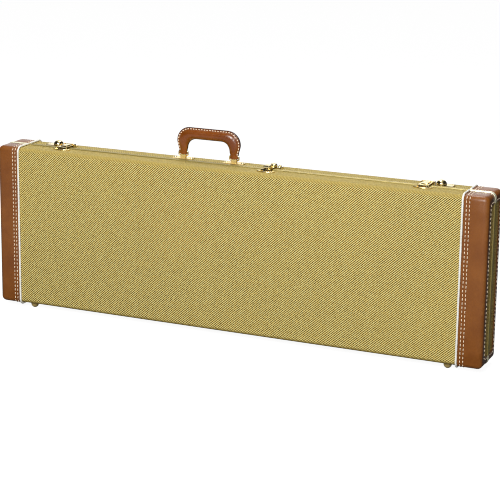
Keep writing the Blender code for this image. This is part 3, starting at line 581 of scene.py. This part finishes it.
def lathe(bm, profile, centre, steps=40):
    """Turns a profile of (radius, height) points about an upright line through centre."""
    rings = []
    for radius, height in profile:
        angles = [2 * math.pi * i / steps for i in range(steps if radius > 1e-7 else 1)]
        points = [Vector((radius * math.cos(a), radius * math.sin(a), height)) for a in angles]
        rings.append([bm.verts.new(Vector(centre) + point) for point in points])
    for above, below in zip(rings, rings[1:]):
        for i in range(steps):
            j = (i + 1) % steps
            places = (above, i), (below, i), (below, j), (above, j)
            corners = list(dict.fromkeys(ring[k % len(ring)] for ring, k in places))
            if len(corners) > 2:
                bm.faces.new(corners)


def smooth_step(value):
    value = min(1.0, max(0.0, value))
    return value * value * (3 - 2 * value)


# ---------------- wrap routes and stitches

def wrap_route(half, lift, rim_gap, steps=14):
    """((y, z), (ny, nz)) round a half's outside, from its upper rim over the broad face to its lower rim."""
    face, inward = HALVES[half]
    rim_y, bend_y = Y_PARTING - inward * rim_gap, face + inward * EDGE_RADIUS
    route = [((rim_y, Z_TOP + lift), (0.0, 1.0))]
    for i in range(steps + 1):
        a = math.pi / 2 * i / steps
        normal = (-inward * math.sin(a), math.cos(a))
        route.append(((bend_y + normal[0] * (EDGE_RADIUS + lift),
                       Z_TOP - EDGE_RADIUS + normal[1] * (EDGE_RADIUS + lift)), normal))
    return route + [((y, Z_SPINE + Z_TOP - z), (ny, -nz)) for (y, z), (ny, nz) in reversed(route)]


class Path:
    """A polyline with normals that can be read at any distance along it."""

    def __init__(self, points, normals):
        self.points = np.array(points, float)
        self.normals = np.array(normals, float)
        steps = np.linalg.norm(np.diff(self.points, axis=0), axis=1)
        self.reach = np.concatenate([[0.0], np.cumsum(steps)])
        self.length = self.reach[-1]

    def at(self, distance):
        point, normal = (Vector([np.interp(distance, self.reach, column) for column in table.T])
                         for table in (self.points, self.normals))
        return point, normal.normalized()


def add_stitch(bm, path, middle, length, radius, tilt):
    """One stitch: a thread that rises from its hole, lies on the surface and dips into the next hole."""
    rings = []
    for t in STITCH_TIMES:
        way = t * length / 2
        point, normal = path.at(middle + way)
        tangent = (path.at(middle + way + 1e-4)[0] - path.at(middle + way - 1e-4)[0]).normalized()
        side = tangent.cross(normal).normalized()
        thick = radius * math.sqrt(1.0 - 0.75 * t ** 6)
        centre = point + normal * (radius * (0.35 - 0.95 * t ** 4)) + side * (tilt * way)
        rings.append([bm.verts.new(centre + thick * (math.cos(a) * side + math.sin(a) * normal * 0.8))
                      for a in (2 * math.pi * k / STITCH_SIDES for k in range(STITCH_SIDES))])
    loft(bm, rings)


def stitch_row(bm, path, pitch, length, radius, seed):
    """Evenly spaced stitches along a path, each a little out of line as hand work is."""
    draw = random.Random(seed)
    free = path.length - 2 * STITCH_MARGIN
    count = round(free / pitch)
    for i in range(count):
        middle = STITCH_MARGIN + (i + 0.5) * free / count + draw.uniform(-0.03, 0.03) * pitch
        add_stitch(bm, path, middle, length * draw.uniform(0.94, 1.04), radius * draw.uniform(0.93, 1.05),
                   draw.uniform(-0.03, 0.03))


# ---------------- tweed, leather and piping

def make_tweed(half):
    """The cloth over one half, with its weave laid out flat in the attribute that the material reads. Its third
    part marks the end faces, which the material tints with painted shade.
    """
    face, inward = HALVES[half]
    broad, end_x = face + inward * TWEED_INSET, X_END - TWEED_INSET
    ys = sorted((broad, Y_PARTING - inward * RIM_GAP))
    low, high = (-end_x, ys[0], Z_SPINE + TWEED_INSET), (end_x, ys[1], Z_TOP - TWEED_INSET)
    mesh = apply_all(open_box(low, high, [(0, inward, 0)], TWEED_THICK, EDGE_RADIUS - TWEED_INSET))
    weave = mesh.attributes.new("weave", "FLOAT_VECTOR", "CORNER")
    values = []
    for polygon in mesh.polygons:
        on_end = abs(polygon.center.x) > end_x - 0.003
        upper = polygon.center.z > Z_MIDDLE
        for index in polygon.vertices:
            x, y, z = mesh.vertices[index].co
            depth = abs(y - broad)
            if on_end:
                # 1.0 marks an end face for the material's painted shade
                values += [math.copysign(X_END + depth, x), z, 1.0]
            else:
                values += [x, z + (depth if upper else -depth), 0.0]
    weave.data.foreach_set("vector", values)
    place_object(f"{half}_tweed", mesh, TWEED_M, half, f"{half}_tweed_cover")


def window_tool(face, inward, sign):
    """A scratch object: the block that cuts a cap's window, which reaches past the rim."""
    ys = sorted((face + inward * CAP_BORDER, Y_PARTING + inward * 0.02))
    xs = sorted((sign * (X_END - 0.005), sign * (X_END + 0.005)))
    centre_y, half_y = (ys[0] + ys[1]) / 2, (ys[1] - ys[0]) / 2
    outline = rounded_rectangle(half_y, HALF_HEIGHT - CAP_BORDER, WINDOW_RADIUS)
    bm = bmesh.new()
    loft(bm, [[bm.verts.new((x, centre_y + y, Z_MIDDLE + z)) for y, z in outline] for x in xs])
    return scratch_object(bm)


def make_cap(half, side, sign):
    """A leather end cap with rounded, cut edges and a window that leaves the tweed bare on the end."""
    face, inward = HALVES[half]
    xs = sorted((sign * CAP_INNER_X, sign * X_END))
    ys = sorted((face, Y_PARTING - inward * RIM_GAP))
    shell = open_box((xs[0], ys[0], Z_SPINE), (xs[1], ys[1], Z_TOP), [(0, inward, 0), (-sign, 0, 0)],
                     LEATHER_THICK, EDGE_RADIUS)
    tool = window_tool(face, inward, sign)
    cut = shell.modifiers.new("cut", "BOOLEAN")
    cut.operation, cut.solver, cut.object = "DIFFERENCE", "EXACT", tool
    bevel(shell, CUT_EDGE, 2, 60)
    mesh = apply_all(shell)
    bpy.data.objects.remove(tool)
    place_object(f"{half}_cap_leather_{side}", mesh, CAP_M, half, f"{half}_cap_{side}")


def make_cap_stitches(half, side, sign):
    """Two rows beside the piping and one round the window, joined into one piece."""
    bm = bmesh.new()
    seed = 11 * sign + (3 if half == "lid" else 7)
    route = wrap_route(half, 0.0, STITCH_RIM_GAP)
    for row, line in enumerate(STITCH_LINES):
        x = sign * (CAP_INNER_X + line)
        path = Path([(x, y, z) for (y, z), _ in route], [(0.0, ny, nz) for _, (ny, nz) in route])
        stitch_row(bm, path, *CAP_STITCH, seed + row)
    face, inward = HALVES[half]
    inset, radius = CAP_BORDER - WINDOW_STITCH, WINDOW_STITCH_RADIUS
    points = [(Y_PARTING - inward * STITCH_RIM_GAP, Z_TOP - inset)]
    for a in (math.pi / 2 * i / 8 for i in range(9)):
        points.append((face + inward * (inset + radius * (1 - math.sin(a))),
                       Z_TOP - inset - radius * (1 - math.cos(a))))
    points += [(y, Z_SPINE + Z_TOP - z) for y, z in reversed(points)]
    path = Path([(sign * X_END, y, z) for y, z in points], [(sign, 0.0, 0.0)] * len(points))
    stitch_row(bm, path, *CAP_STITCH, seed + 5)
    place_object(f"{half}_cap_stitches_{side}", mesh_of(bm), THREAD_M, half)


def make_piping(half, side):
    """The white cord in the seam, from rim to rim."""
    node = f"{half}_piping_{side}"
    _, _, middle, size = box_of(node)
    radius = size.x / 2 * PIPING_SWELL
    route = wrap_route(half, radius - PIPING_SUNK, RIM_GAP + 0.0002)
    mesh = tube_mesh([(middle.x, y, z) for (y, z), _ in route], radius, resolution=5)
    place_object(f"{half}_piping_cord_{side}", mesh, PIPING_M, half, node)


def make_valance(half):
    """A folded metal strip round a rim: a low rounded bead outside, and inside a tongue or its groove."""
    low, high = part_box(f"{half}_valance")
    back = -HALVES[half][1]  # the way from the rim to the strip's far edge
    near = Y_PARTING + back * PARTING_GAP
    far = low.y if half == "lid" else high.y
    bead = [(share, far - back * way) for share, way in BEAD_FAR]
    bead += [(share, near + back * way) for share, way in BEAD_NEAR]
    if half == "lid":
        inside = [(-LID_LIP, near), (-LID_LIP, far)]
    else:
        inside = [(-BASE_LIP, near), (-BASE_LIP, low.y), (-PLY_INSET, low.y), (-PLY_INSET, far)]
    bm = bmesh.new()
    rings = []
    for out, y in [(BEAD_RISE * share, y) for share, y in bead] + inside:
        outline = rounded_rectangle(X_END + out, HALF_HEIGHT + out, EDGE_RADIUS + out, 8)
        # flush on the spine, where the hinges cross it
        rings.append([bm.verts.new((x, y, max(Z_MIDDLE + z, Z_SPINE))) for x, z in outline])
    bridge(bm, rings + rings[:1])
    place_object(f"{half}_valance_strip", mesh_of(bm), VALANCE_M, half, f"{half}_valance")


# ---------------- handle

def grip_edge(side_x, top, bend, pull):
    """(x, z) along one edge of half the grip: up its leg, round the bend and on to the middle of its top."""
    end_z, bend_z = GRIP_LOW.z - END_REACH, top - bend
    edge = []
    for i in range(LEG_STEPS + 1):
        z = end_z + (bend_z - end_z) * i / LEG_STEPS
        share = (z - end_z - END_STRAIGHT) / (bend_z - end_z - END_STRAIGHT)
        edge.append((side_x + pull * (1 - smooth_step(share)), z))
    for i in range(1, BEND_STEPS + 1):
        a = math.pi / 2 * i / BEND_STEPS
        edge.append((side_x - bend * (1 - math.cos(a)), bend_z + bend * math.sin(a)))
    return edge + [((side_x - bend) * (1 - i / BAR_STEPS), top) for i in range(1, BAR_STEPS + 1)]


def grip_stations():
    """Inner point, outer point and half thickness, along the handle from end to end."""
    inner_edge = grip_edge(GRIP_HALF - GRIP_WIDTH, GRIP_HIGH.z - GRIP_WIDTH, INNER_BEND, INNER_PULL)
    outer_edge = grip_edge(GRIP_HALF, GRIP_HIGH.z, OUTER_BEND, -OUTER_PULL)
    half = []
    for i, (inner, outer) in enumerate(zip(inner_edge, outer_edge)):
        swell = smooth_step(i / (LEG_STEPS + BEND_STEPS))  # slim legs clear the valances when folded
        half.append((inner, outer, END_THICK + (ROLL_THICK - END_THICK) * swell))
    mirrored = [((-inner[0], inner[1]), (-outer[0], outer[1]), thick) for inner, outer, thick in half]
    return mirrored + half[-2::-1]


def grip_profile(thick):
    """(share across, half thickness) from the inner to the outer edge: a padded roll, then a thin rim."""
    points = []
    middle = RIM_SHARE / 2 + 0.02
    for i in range(1, 13):
        a = math.radians(13.2 * i)
        share, height = middle * (1 - math.cos(a)), thick * math.sin(a)
        if share > RIM_SHARE - 0.05 and height < RIM_THICK * 1.4:
            break
        points.append((share, max(height, RIM_THICK if share > middle else 0.0)))
    return points + [(RIM_SHARE + 0.035, RIM_THICK), (0.91, RIM_THICK), (0.965, RIM_THICK * 0.96),
                     (0.99, RIM_THICK * 0.7)]


def make_grip():
    """The padded grip: a loft of the same profile all along, drawn in at both ends."""
    bm = bmesh.new()
    burnish = bm.verts.layers.float.new("burnish")
    stations = grip_stations()

    def ring(inner, outer, thick, shrink=1.0):
        """The profile across one station, shrunk about its middle for the closed ends."""
        middle = [(inner[k] + outer[k]) / 2 for k in (0, 1)]
        down = 0.0001 if shrink < 1.0 else 0.0
        profile = grip_profile(thick)
        made = []
        for share, height in [(0.0, 0.0)] + profile + [(1.0, 0.0)] + [(s, -h) for s, h in reversed(profile)]:
            x, z = (inner[k] + (outer[k] - inner[k]) * share for k in (0, 1))
            x, z = middle[0] + (x - middle[0]) * shrink, middle[1] + (z - middle[1]) * shrink + down
            made.append(bm.verts.new((GRIP_X + x, GRIP_Y + height * shrink, z)))
            edges = max(smooth_step((share - 0.92) / 0.05), smooth_step((0.06 - share) / 0.05))
            made[-1][burnish] = 1.0 if shrink < 1.0 else edges
        return made

    start = [ring(*stations[0], shrink) for shrink in (0.55, 0.90)]
    finish = [ring(*stations[-1], shrink) for shrink in (0.90, 0.55)]
    loft(bm, start + [ring(*station) for station in stations] + finish)
    item = scratch_object(bm)
    subdivide(item)
    mesh = apply_all(item)
    grip = place_object("handle_padded_grip", mesh, GRIP_M, "handle", "handle_grip")


def make_grip_stitches():
    """The row along the grip's rim, seen from both sides."""
    bm = bmesh.new()
    line = [[inner[k] + (outer[k] - inner[k]) * GRIP_STITCH_SHARE for k in (0, 1)]
            for inner, outer, _ in grip_stations()[2:-2]]
    for side in (-1, 1):
        points = [(GRIP_X + x, GRIP_Y + side * RIM_THICK, z) for x, z in line]
        stitch_row(bm, Path(points, [(0.0, side, 0.0)] * len(points)), *GRIP_STITCH, 40 + side)
    place_object("handle_stitches", mesh_of(bm), THREAD_M, "handle")


def make_loop(side):
    """The wire loop that joins a leg of the handle to its plate."""
    node = f"handle_loop_{side}"
    _, _, middle, size = box_of(node)
    wire = size.y / 2
    outline = rounded_rectangle(size.x / 2 - wire, size.z / 2 - wire, 0.0025, 5)
    points = [(middle.x + x, GRIP_Y, middle.z + z) for x, z in outline]
    mesh = tube_mesh(points, wire * LOOP_THIN, True, 5)
    place_object(f"handle_wire_loop_{side}", mesh, BRASS_M, "handle", node)


# ---------------- hardware

def lock_deck(side):
    """The height of a lock body's deck, which carries its slide button and its screws."""
    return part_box(f"lock_body_{side}")[0].z + LOCK_DECKS[side]


def make_button(side):
    """A slide button: a polished dome on a stem."""
    node = f"slide_button_{side}"
    low, high, middle, size = box_of(node)
    radius, base = size.y / 2, lock_deck(side) + 0.0003
    rise = high.z - base - DOME_BRIM
    angles = [math.pi / 2 * i / DOME_STEPS for i in range(DOME_STEPS)]
    curve = [(radius * math.sin(a), DOME_BRIM + rise * math.cos(a)) for a in angles]
    bm = bmesh.new()
    lathe(bm, curve + [(radius, DOME_BRIM), (radius, 0.0), (0.0, 0.0)], (middle.x, middle.y, base), 48)
    stem, stem_top = min(STEM_RADIUS, radius * 0.6), base + 0.0005
    lathe(bm, [(0.0, stem_top), (stem, stem_top), (stem, low.z), (0.0, low.z)], (middle.x, middle.y, 0.0), 20)
    place_object(f"{node}_dome", mesh_of(bm), BRASS_M, node, node)


def make_foot(half, side):
    """A brass stud foot with a turned flange."""
    node = f"{half}_foot_{side}"
    _, high, middle, size = box_of(node)
    flange, top = size.x / 2, high.z
    angles = [math.radians(7.2 * i) for i in range(12)]
    curve = [(FOOT_RADIUS * math.cos(a), FOOT_DEPTH * (1 - math.sin(a))) for a in angles]
    profile = [(0.0, top), (flange - 0.0002, top), (flange, top - 0.0003), (flange, top - 0.0009),
               (flange - 0.0003, top - 0.0012), *curve, (0.0, 0.0)]
    bm = bmesh.new()
    lathe(bm, profile, (middle.x, middle.y, 0.0))
    place_object(f"{half}_stud_foot_{side}", mesh_of(bm), SATIN_LIT_BRASS_M, half, node)


def add_screw(bm, x, y, z, radius, up=1):
    """A domed screw head with a countersunk middle. up is the way that it faces."""
    rise = radius * 0.42
    profile = [(0.0, rise * 0.45), (radius * 0.22, rise * 0.5), (radius * 0.30, rise),
               (radius * 0.62, rise * 0.86), (radius * 0.88, rise * 0.45), (radius, 0.0),
               (radius, -0.0003), (0.0, -0.0003)]
    lathe(bm, [(r, up * height) for r, height in profile], (x, y, z), 18)


def make_screws():
    """Screw heads on the plates, lock bodies and hinge leaves, one piece for each half."""
    heads = {"base": bmesh.new(), "lid": bmesh.new()}
    for side in SIDES:
        low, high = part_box(f"handle_plate_{side}")
        for x in (low.x + HANDLE_INSET, high.x - HANDLE_INSET):
            add_screw(heads["base"], x, GRIP_Y, low.z + HANDLE_PLATE_THICK, HANDLE_SCREW)
    for side in LOCKS:
        low, high, middle, _ = box_of(f"hasp_plate_{side}")
        for x in (low.x + HASP_INSET, high.x - HASP_INSET):
            add_screw(heads["lid"], x, middle.y - 0.0005, low.z + HASP_PLATE_THICK, HASP_SCREW)
        low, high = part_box(f"lock_body_{side}")
        back_y = high.y - LOCK_INSET
        last_y = low.y + 0.0030 if side == "middle" else back_y  # clear of the small slide button
        add_screw(heads["base"], low.x + LOCK_INSET, back_y, lock_deck(side), LOCK_SCREW)
        add_screw(heads["base"], high.x - LOCK_INSET, last_y, lock_deck(side), LOCK_SCREW)
        for half, (_, inward) in HALVES.items():
            low, _, _, size = box_of(f"hinge_{half}_leaf_{side}")
            for share in (0.12, 0.5, 0.88):
                add_screw(heads[half], low.x + size.x * share, Y_PARTING - inward * HINGE_SCREW_Y,
                          HINGE_FACE_Z, HINGE_SCREW, -1)
    for half, bm in heads.items():
        place_object(f"{half}_screws", mesh_of(bm), BRASS_M, half)


def make_plate_rim(side):
    """The rolled rim of a lens-shaped hasp plate, with its pointed ends."""
    low, _, middle, size = box_of(f"hasp_plate_{side}")
    half_x, half_y = size.x / 2 - RIM_WIRE, size.y / 2 - RIM_WIRE
    outline = [(half_x * t, -half_y * (1 - t * t)) for t in (i / 12 - 1 for i in range(24))]
    outline += [(-x, -y) for x, y in outline]
    points = [(middle.x + x, middle.y + y, low.z + HASP_PLATE_THICK - 0.0002) for x, y in outline]
    mesh = tube_mesh(points, RIM_WIRE, True)
    place_object(f"hasp_plate_rim_{side}", mesh, BRASS_M, "lid")


def make_boss(side):
    """The raised, rounded middle of a hasp."""
    low, high, middle, size = box_of(f"hasp_{side}")
    half_width = size.x * 0.30
    bm = corner_cube((middle.x - half_width, low.y + size.y * 0.32, high.z - 0.0004),
                     (middle.x + half_width, high.y - 0.0025, high.z + BOSS_RISE))
    item = scratch_object(bm)
    bevel(item, BOSS_ROUND, 4)
    place_object(f"hasp_boss_{side}", apply_all(item), BRASS_M, f"hasp_{side}")


def dress_cad():
    """Materials for the CAD pieces, and welded, rounded edges for the metal ones that stay."""
    finishes = {"handle_plate": (SATIN_LIT_BRASS_M, "hardware"), "_pin_": (STEEL_M, "pin_steel"),
                "shell": (PLY_M, "plywood")}
    for name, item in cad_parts.items():
        material, slot = next((finishes[key] for key in finishes if key in name), (BRASS_M, "hardware"))
        item.data.materials.clear()
        item.data.materials.append(material)
        if item.hide_render or slot == "plywood":
            continue
        item.modifiers.new("weld", "WELD").merge_threshold = 1e-6
        if slot == "hardware":
            bevel(item, CAD_EDGE, 2, 50)


# ---------------- inside

def grid_box(low, high, radius, step, skip=None):
    """A bmesh box with an even grid of faces and rounded edges. skip is the side (axis, sign) left open."""
    bm = corner_cube(low, high)
    inner_low, inner_high = low + Vector((radius,) * 3), high - Vector((radius,) * 3)
    if skip:
        axis, sign = skip
        side = Vector((0.0, 0.0, 0.0))
        side[axis] = sign
        remove_sides(bm, [side])
        if sign > 0:
            inner_high[axis] = high[axis]
        else:
            inner_low[axis] = low[axis]
    for axis in range(3):
        first, last = low[axis], high[axis]
        cuts = [first + radius * k for k in (0.3, 0.65, 1.0)] + [last - radius * k for k in (0.3, 0.65, 1.0)]
        span = last - first - 2 * radius
        count = max(1, int(span / step))
        cuts += [first + radius + span * i / count for i in range(1, count)]
        for place in sorted(set(round(c, 7) for c in cuts)):
            point, normal = Vector((0.0, 0.0, 0.0)), Vector((0.0, 0.0, 0.0))
            point[axis], normal[axis] = place, 1.0
            everything = bm.verts[:] + bm.edges[:] + bm.faces[:]
            bmesh.ops.bisect_plane(bm, geom=everything, plane_co=point, plane_no=normal)
    for vertex in bm.verts:
        core = Vector([min(max(vertex.co[k], inner_low[k]), inner_high[k]) for k in range(3)])
        away = vertex.co - core
        if away.length > 1e-9:
            vertex.co = core + away.normalized() * radius
    bm.normal_update()
    return bm


def place_plush(name, mesh, body, node):
    """Adds a padded piece that stands for a CAD node."""
    place_object(name, mesh, PLUSH_M, body, node)


def facing_of(vertex, low, high, axes=(0, 1, 2)):
    """The axis that a point of a box form faces, and how far it is from the nearest edge of that side."""
    main = max(range(3), key=lambda k: abs(vertex.normal[k]))
    return main, min(min(vertex.co[k] - low[k], high[k] - vertex.co[k]) for k in axes if k != main)


def make_lining(half):
    """The plush lining: a soft tray with round corners, crowned between its seams, and a rolled edge."""
    node = f"{half}_lining"
    low, high, middle, size = box_of(node)
    inward = HALVES[half][1]
    bm = grid_box(low, high, LINING_RADIUS, LINING_STEP, skip=(1, inward))
    for vertex in bm.verts:
        main, edge = facing_of(vertex, low, high, (0, 2))
        if (vertex.co.y - Y_PARTING) * -inward < 0.004:
            continue
        puff = 0.0007 * smooth_step(edge / 0.03) + 0.0004 * (noise.noise(vertex.co * 26) + 0.4)
        vertex.co[main] += math.copysign(max(0.0, puff), middle[main] - vertex.co[main])
    item = scratch_object(bm)
    solidify(item, LINING_THICK)
    place_plush(f"{half}_plush_lining", apply_all(item), half, node)
    edge_y = low.y + 0.0012 if inward < 0 else high.y - 0.0012
    outline = rounded_rectangle(high.x - ROLL_RADIUS, size.z / 2 - ROLL_RADIUS, 0.0055)
    mesh = tube_mesh([(x, edge_y, middle.z + z) for x, z in outline], ROLL_RADIUS, True, 3)
    place_object(f"{half}_lining_roll", mesh, PLUSH_M, half)


def make_block(node):
    """A foam block under plush, from its hard CAD form: an even mesh, soft edges and a crowned top."""
    low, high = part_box(node)
    block = scratch_object(bmesh_of(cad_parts[node].data))
    remesh = block.modifiers.new("even", "REMESH")
    remesh.mode, remesh.voxel_size = "VOXEL", BLOCK_VOXEL
    ease = block.modifiers.new("ease", "SMOOTH")
    ease.factor, ease.iterations = 0.5, 6
    mesh = apply_all(block)
    bm = bmesh.new()
    bm.from_mesh(mesh)
    bm.normal_update()
    for vertex in bm.verts:
        dimple = noise.noise(vertex.co * 30) * 0.0005
        vertex.co += vertex.normal * (BLOCK_CROWN * abs(vertex.normal.y) + dimple)
        vertex.co = [min(max(vertex.co[k], low[k]), high[k]) for k in range(3)]
    bm.to_mesh(mesh)
    bm.free()
    place_plush(f"{node}_plush", mesh, "base", node)
    mesh.shade_smooth()  # without the sharp edges that place_object marks


def make_compartment():
    """The accessory box and its padded lid."""
    low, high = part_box("accessory_box")
    walls = open_box(low, high, [(0, -1, 0)], BOX_WALL, BOX_RADIUS, 4)
    bevel(walls, BOX_ROUND, 3, 60)
    place_plush("accessory_box_plush", apply_all(walls), "base", "accessory_box")
    low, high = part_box("compartment_lid")
    bm = grid_box(low, high, FLAP_RADIUS, FLAP_STEP)
    for vertex in bm.verts:
        if vertex.normal.y < -0.5:
            edge = min(vertex.co.x - low.x, high.x - vertex.co.x, vertex.co.z - low.z, high.z - vertex.co.z)
            vertex.co.y -= FLAP_CROWN * smooth_step(edge / 0.02) + 0.0003 * noise.noise(vertex.co * 40)
    place_plush("compartment_lid_plush", mesh_of(bm), "compartment_lid", "compartment_lid")


def make_ribbon():
    """The folded ribbon that lifts the compartment's lid."""
    low, high, _, size = box_of("compartment_pull")
    bm = bmesh.new()
    rows = []
    for t in (i / RIBBON_STEPS for i in range(RIBBON_STEPS + 1)):
        z = high.z - size.z * (1 - abs(1 - 2 * t))
        bow = math.sin(math.pi * t) * 0.0009 if t > 0.5 else 0.0
        y = high.y - 0.0002 - 0.0008 * t - bow
        rows.append([bm.verts.new((low.x + size.x * k / 4, y, z)) for k in range(5)])
    for a, b in zip(rows, rows[1:]):
        for k in range(4):
            bm.faces.new((a[k], a[k + 1], b[k + 1], b[k]))
    item = scratch_object(bm)
    solidify(item, RIBBON_THICK, 0.0)
    mesh = apply_all(item)
    place_object("compartment_ribbon", mesh, RIBBON_M, "compartment_lid", "compartment_pull")


def make_lid_pad():
    """The foam pad in the lid, crowned on its broad faces, with soft dimples."""
    low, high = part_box("lid_pad")
    bm = grid_box(low, high, PAD_RADIUS, PAD_STEP)
    for vertex in bm.verts:
        main, edge = facing_of(vertex, low, high)
        rise = smooth_step(edge / 0.045) if main == 1 else 0.0
        dimple = 0.35 * noise.noise(vertex.co * 22 + Vector((3.0, 0.0, 0.0))) * smooth_step(edge / 0.01)
        vertex.co += vertex.normal * (PAD_CROWN * (rise + dimple))
        vertex.co.y = max(vertex.co.y, low.y)
    item = scratch_object(bm)
    subdivide(item)
    place_plush("lid_pad_plush", apply_all(item), "lid", "lid_pad")


# ---------------- stage, lights and camera

def make_floor():
    """A pale floor. It glows for the camera, and a patch in front glows as a card for the metal to mirror."""
    bm = bmesh.new()
    bmesh.ops.create_grid(bm, x_segments=1, y_segments=1, size=30.0)
    floor = add_object("floor", mesh_of(bm))
    g = Graph("floor_white")
    rays = g.node("LightPath").outputs
    seen, mirrored = rays["Is Camera Ray"], rays["Is Glossy Ray"]
    card = g.multiply(mirrored, g.spread(g.split(g.coordinates())[1], -0.45, -0.08, 0.45, 0.0))
    g.set(Base_Color=g.mix(seen, (0.12, 0.12, 0.12, 1.0), (0.15, 0.15, 0.15, 1.0)), Roughness=0.9,
          Specular_IOR_Level=0.0, Emission_Color=(1.0, 1.0, 1.0, 1.0),
          Emission_Strength=g.add(g.multiply(seen, 0.94), card))
    floor.data.materials.append(g.owner)


def make_light(name, place, target, size, power):
    data = bpy.data.lights.new(name, "AREA")
    data.energy, data.shape, data.size = power, "SQUARE", size
    light = add_object(name, data)
    light.location = place
    light.rotation_euler = (Vector(target) - Vector(place)).to_track_quat("-Z", "Y").to_euler()


def make_world():
    """A studio: a white band from behind the camera, over the case and down behind it, between dark sides."""
    bpy.context.scene.world = bpy.data.worlds.new("studio")
    g = Graph("studio", bpy.context.scene.world)
    x, y, z = g.split(g.coordinates("Generated"))
    sideways = g.add(g.multiply(x, 0.913), g.multiply(y, 0.407))
    band = g.spread(g.absolute(sideways), 0.22, 0.50, 1.0, 0.03, True)
    tone = g.multiply(g.spread(z, 0.45, 0.85, 1.0, 0.35, True), band)
    seen = g.node("LightPath").outputs["Is Camera Ray"]
    g.set(Color=g.mix(seen, tone, (1.0, 1.0, 1.0, 1.0)), Strength=1.2)


def make_camera():
    data = bpy.data.cameras.new("camera")
    data.sensor_width, data.lens, data.clip_end = 36.0, 123.42, 100.0
    data.shift_x, data.shift_y = 0.0175, -0.0626
    camera = add_object("camera", data)
    camera.location = (1.4119, -3.1675, 1.1013)
    camera.rotation_euler = [math.radians(a) for a in (76.173, -0.672, 24.054)]
    bpy.context.scene.camera = camera


for half in HALVES:
    make_tweed(half)
    make_valance(half)
    make_lining(half)
    for side, sign in SIDES.items():
        make_cap(half, side, sign)
        make_cap_stitches(half, side, sign)
        make_piping(half, side)
        make_foot(half, side)
make_grip()
make_grip_stitches()
for side in SIDES:
    make_loop(side)
for side in LOCKS:
    make_button(side)
    make_plate_rim(side)
for side in SIDES:
    make_boss(side)
make_screws()
for node in ("neck_cradle", "waist_block", "tail_block_upper", "tail_block_lower"):
    make_block(node)
make_compartment()
make_ribbon()
make_lid_pad()
dress_cad()
make_floor()
make_world()
make_light("key", (0.5, -3.7, 2.6), (0.0, 0.0, 0.2), 1.6, 170.0)
make_light("top", (-0.3, 0.9, 2.6), (0.0, 0.0, 0.3), 1.0, 26.0)
make_camera()
bpy.context.scene.view_settings.view_transform = "Standard"
bpy.context.scene.cycles.filter_width = 1.05  # a crisp lens, so that the fine weave stays visible
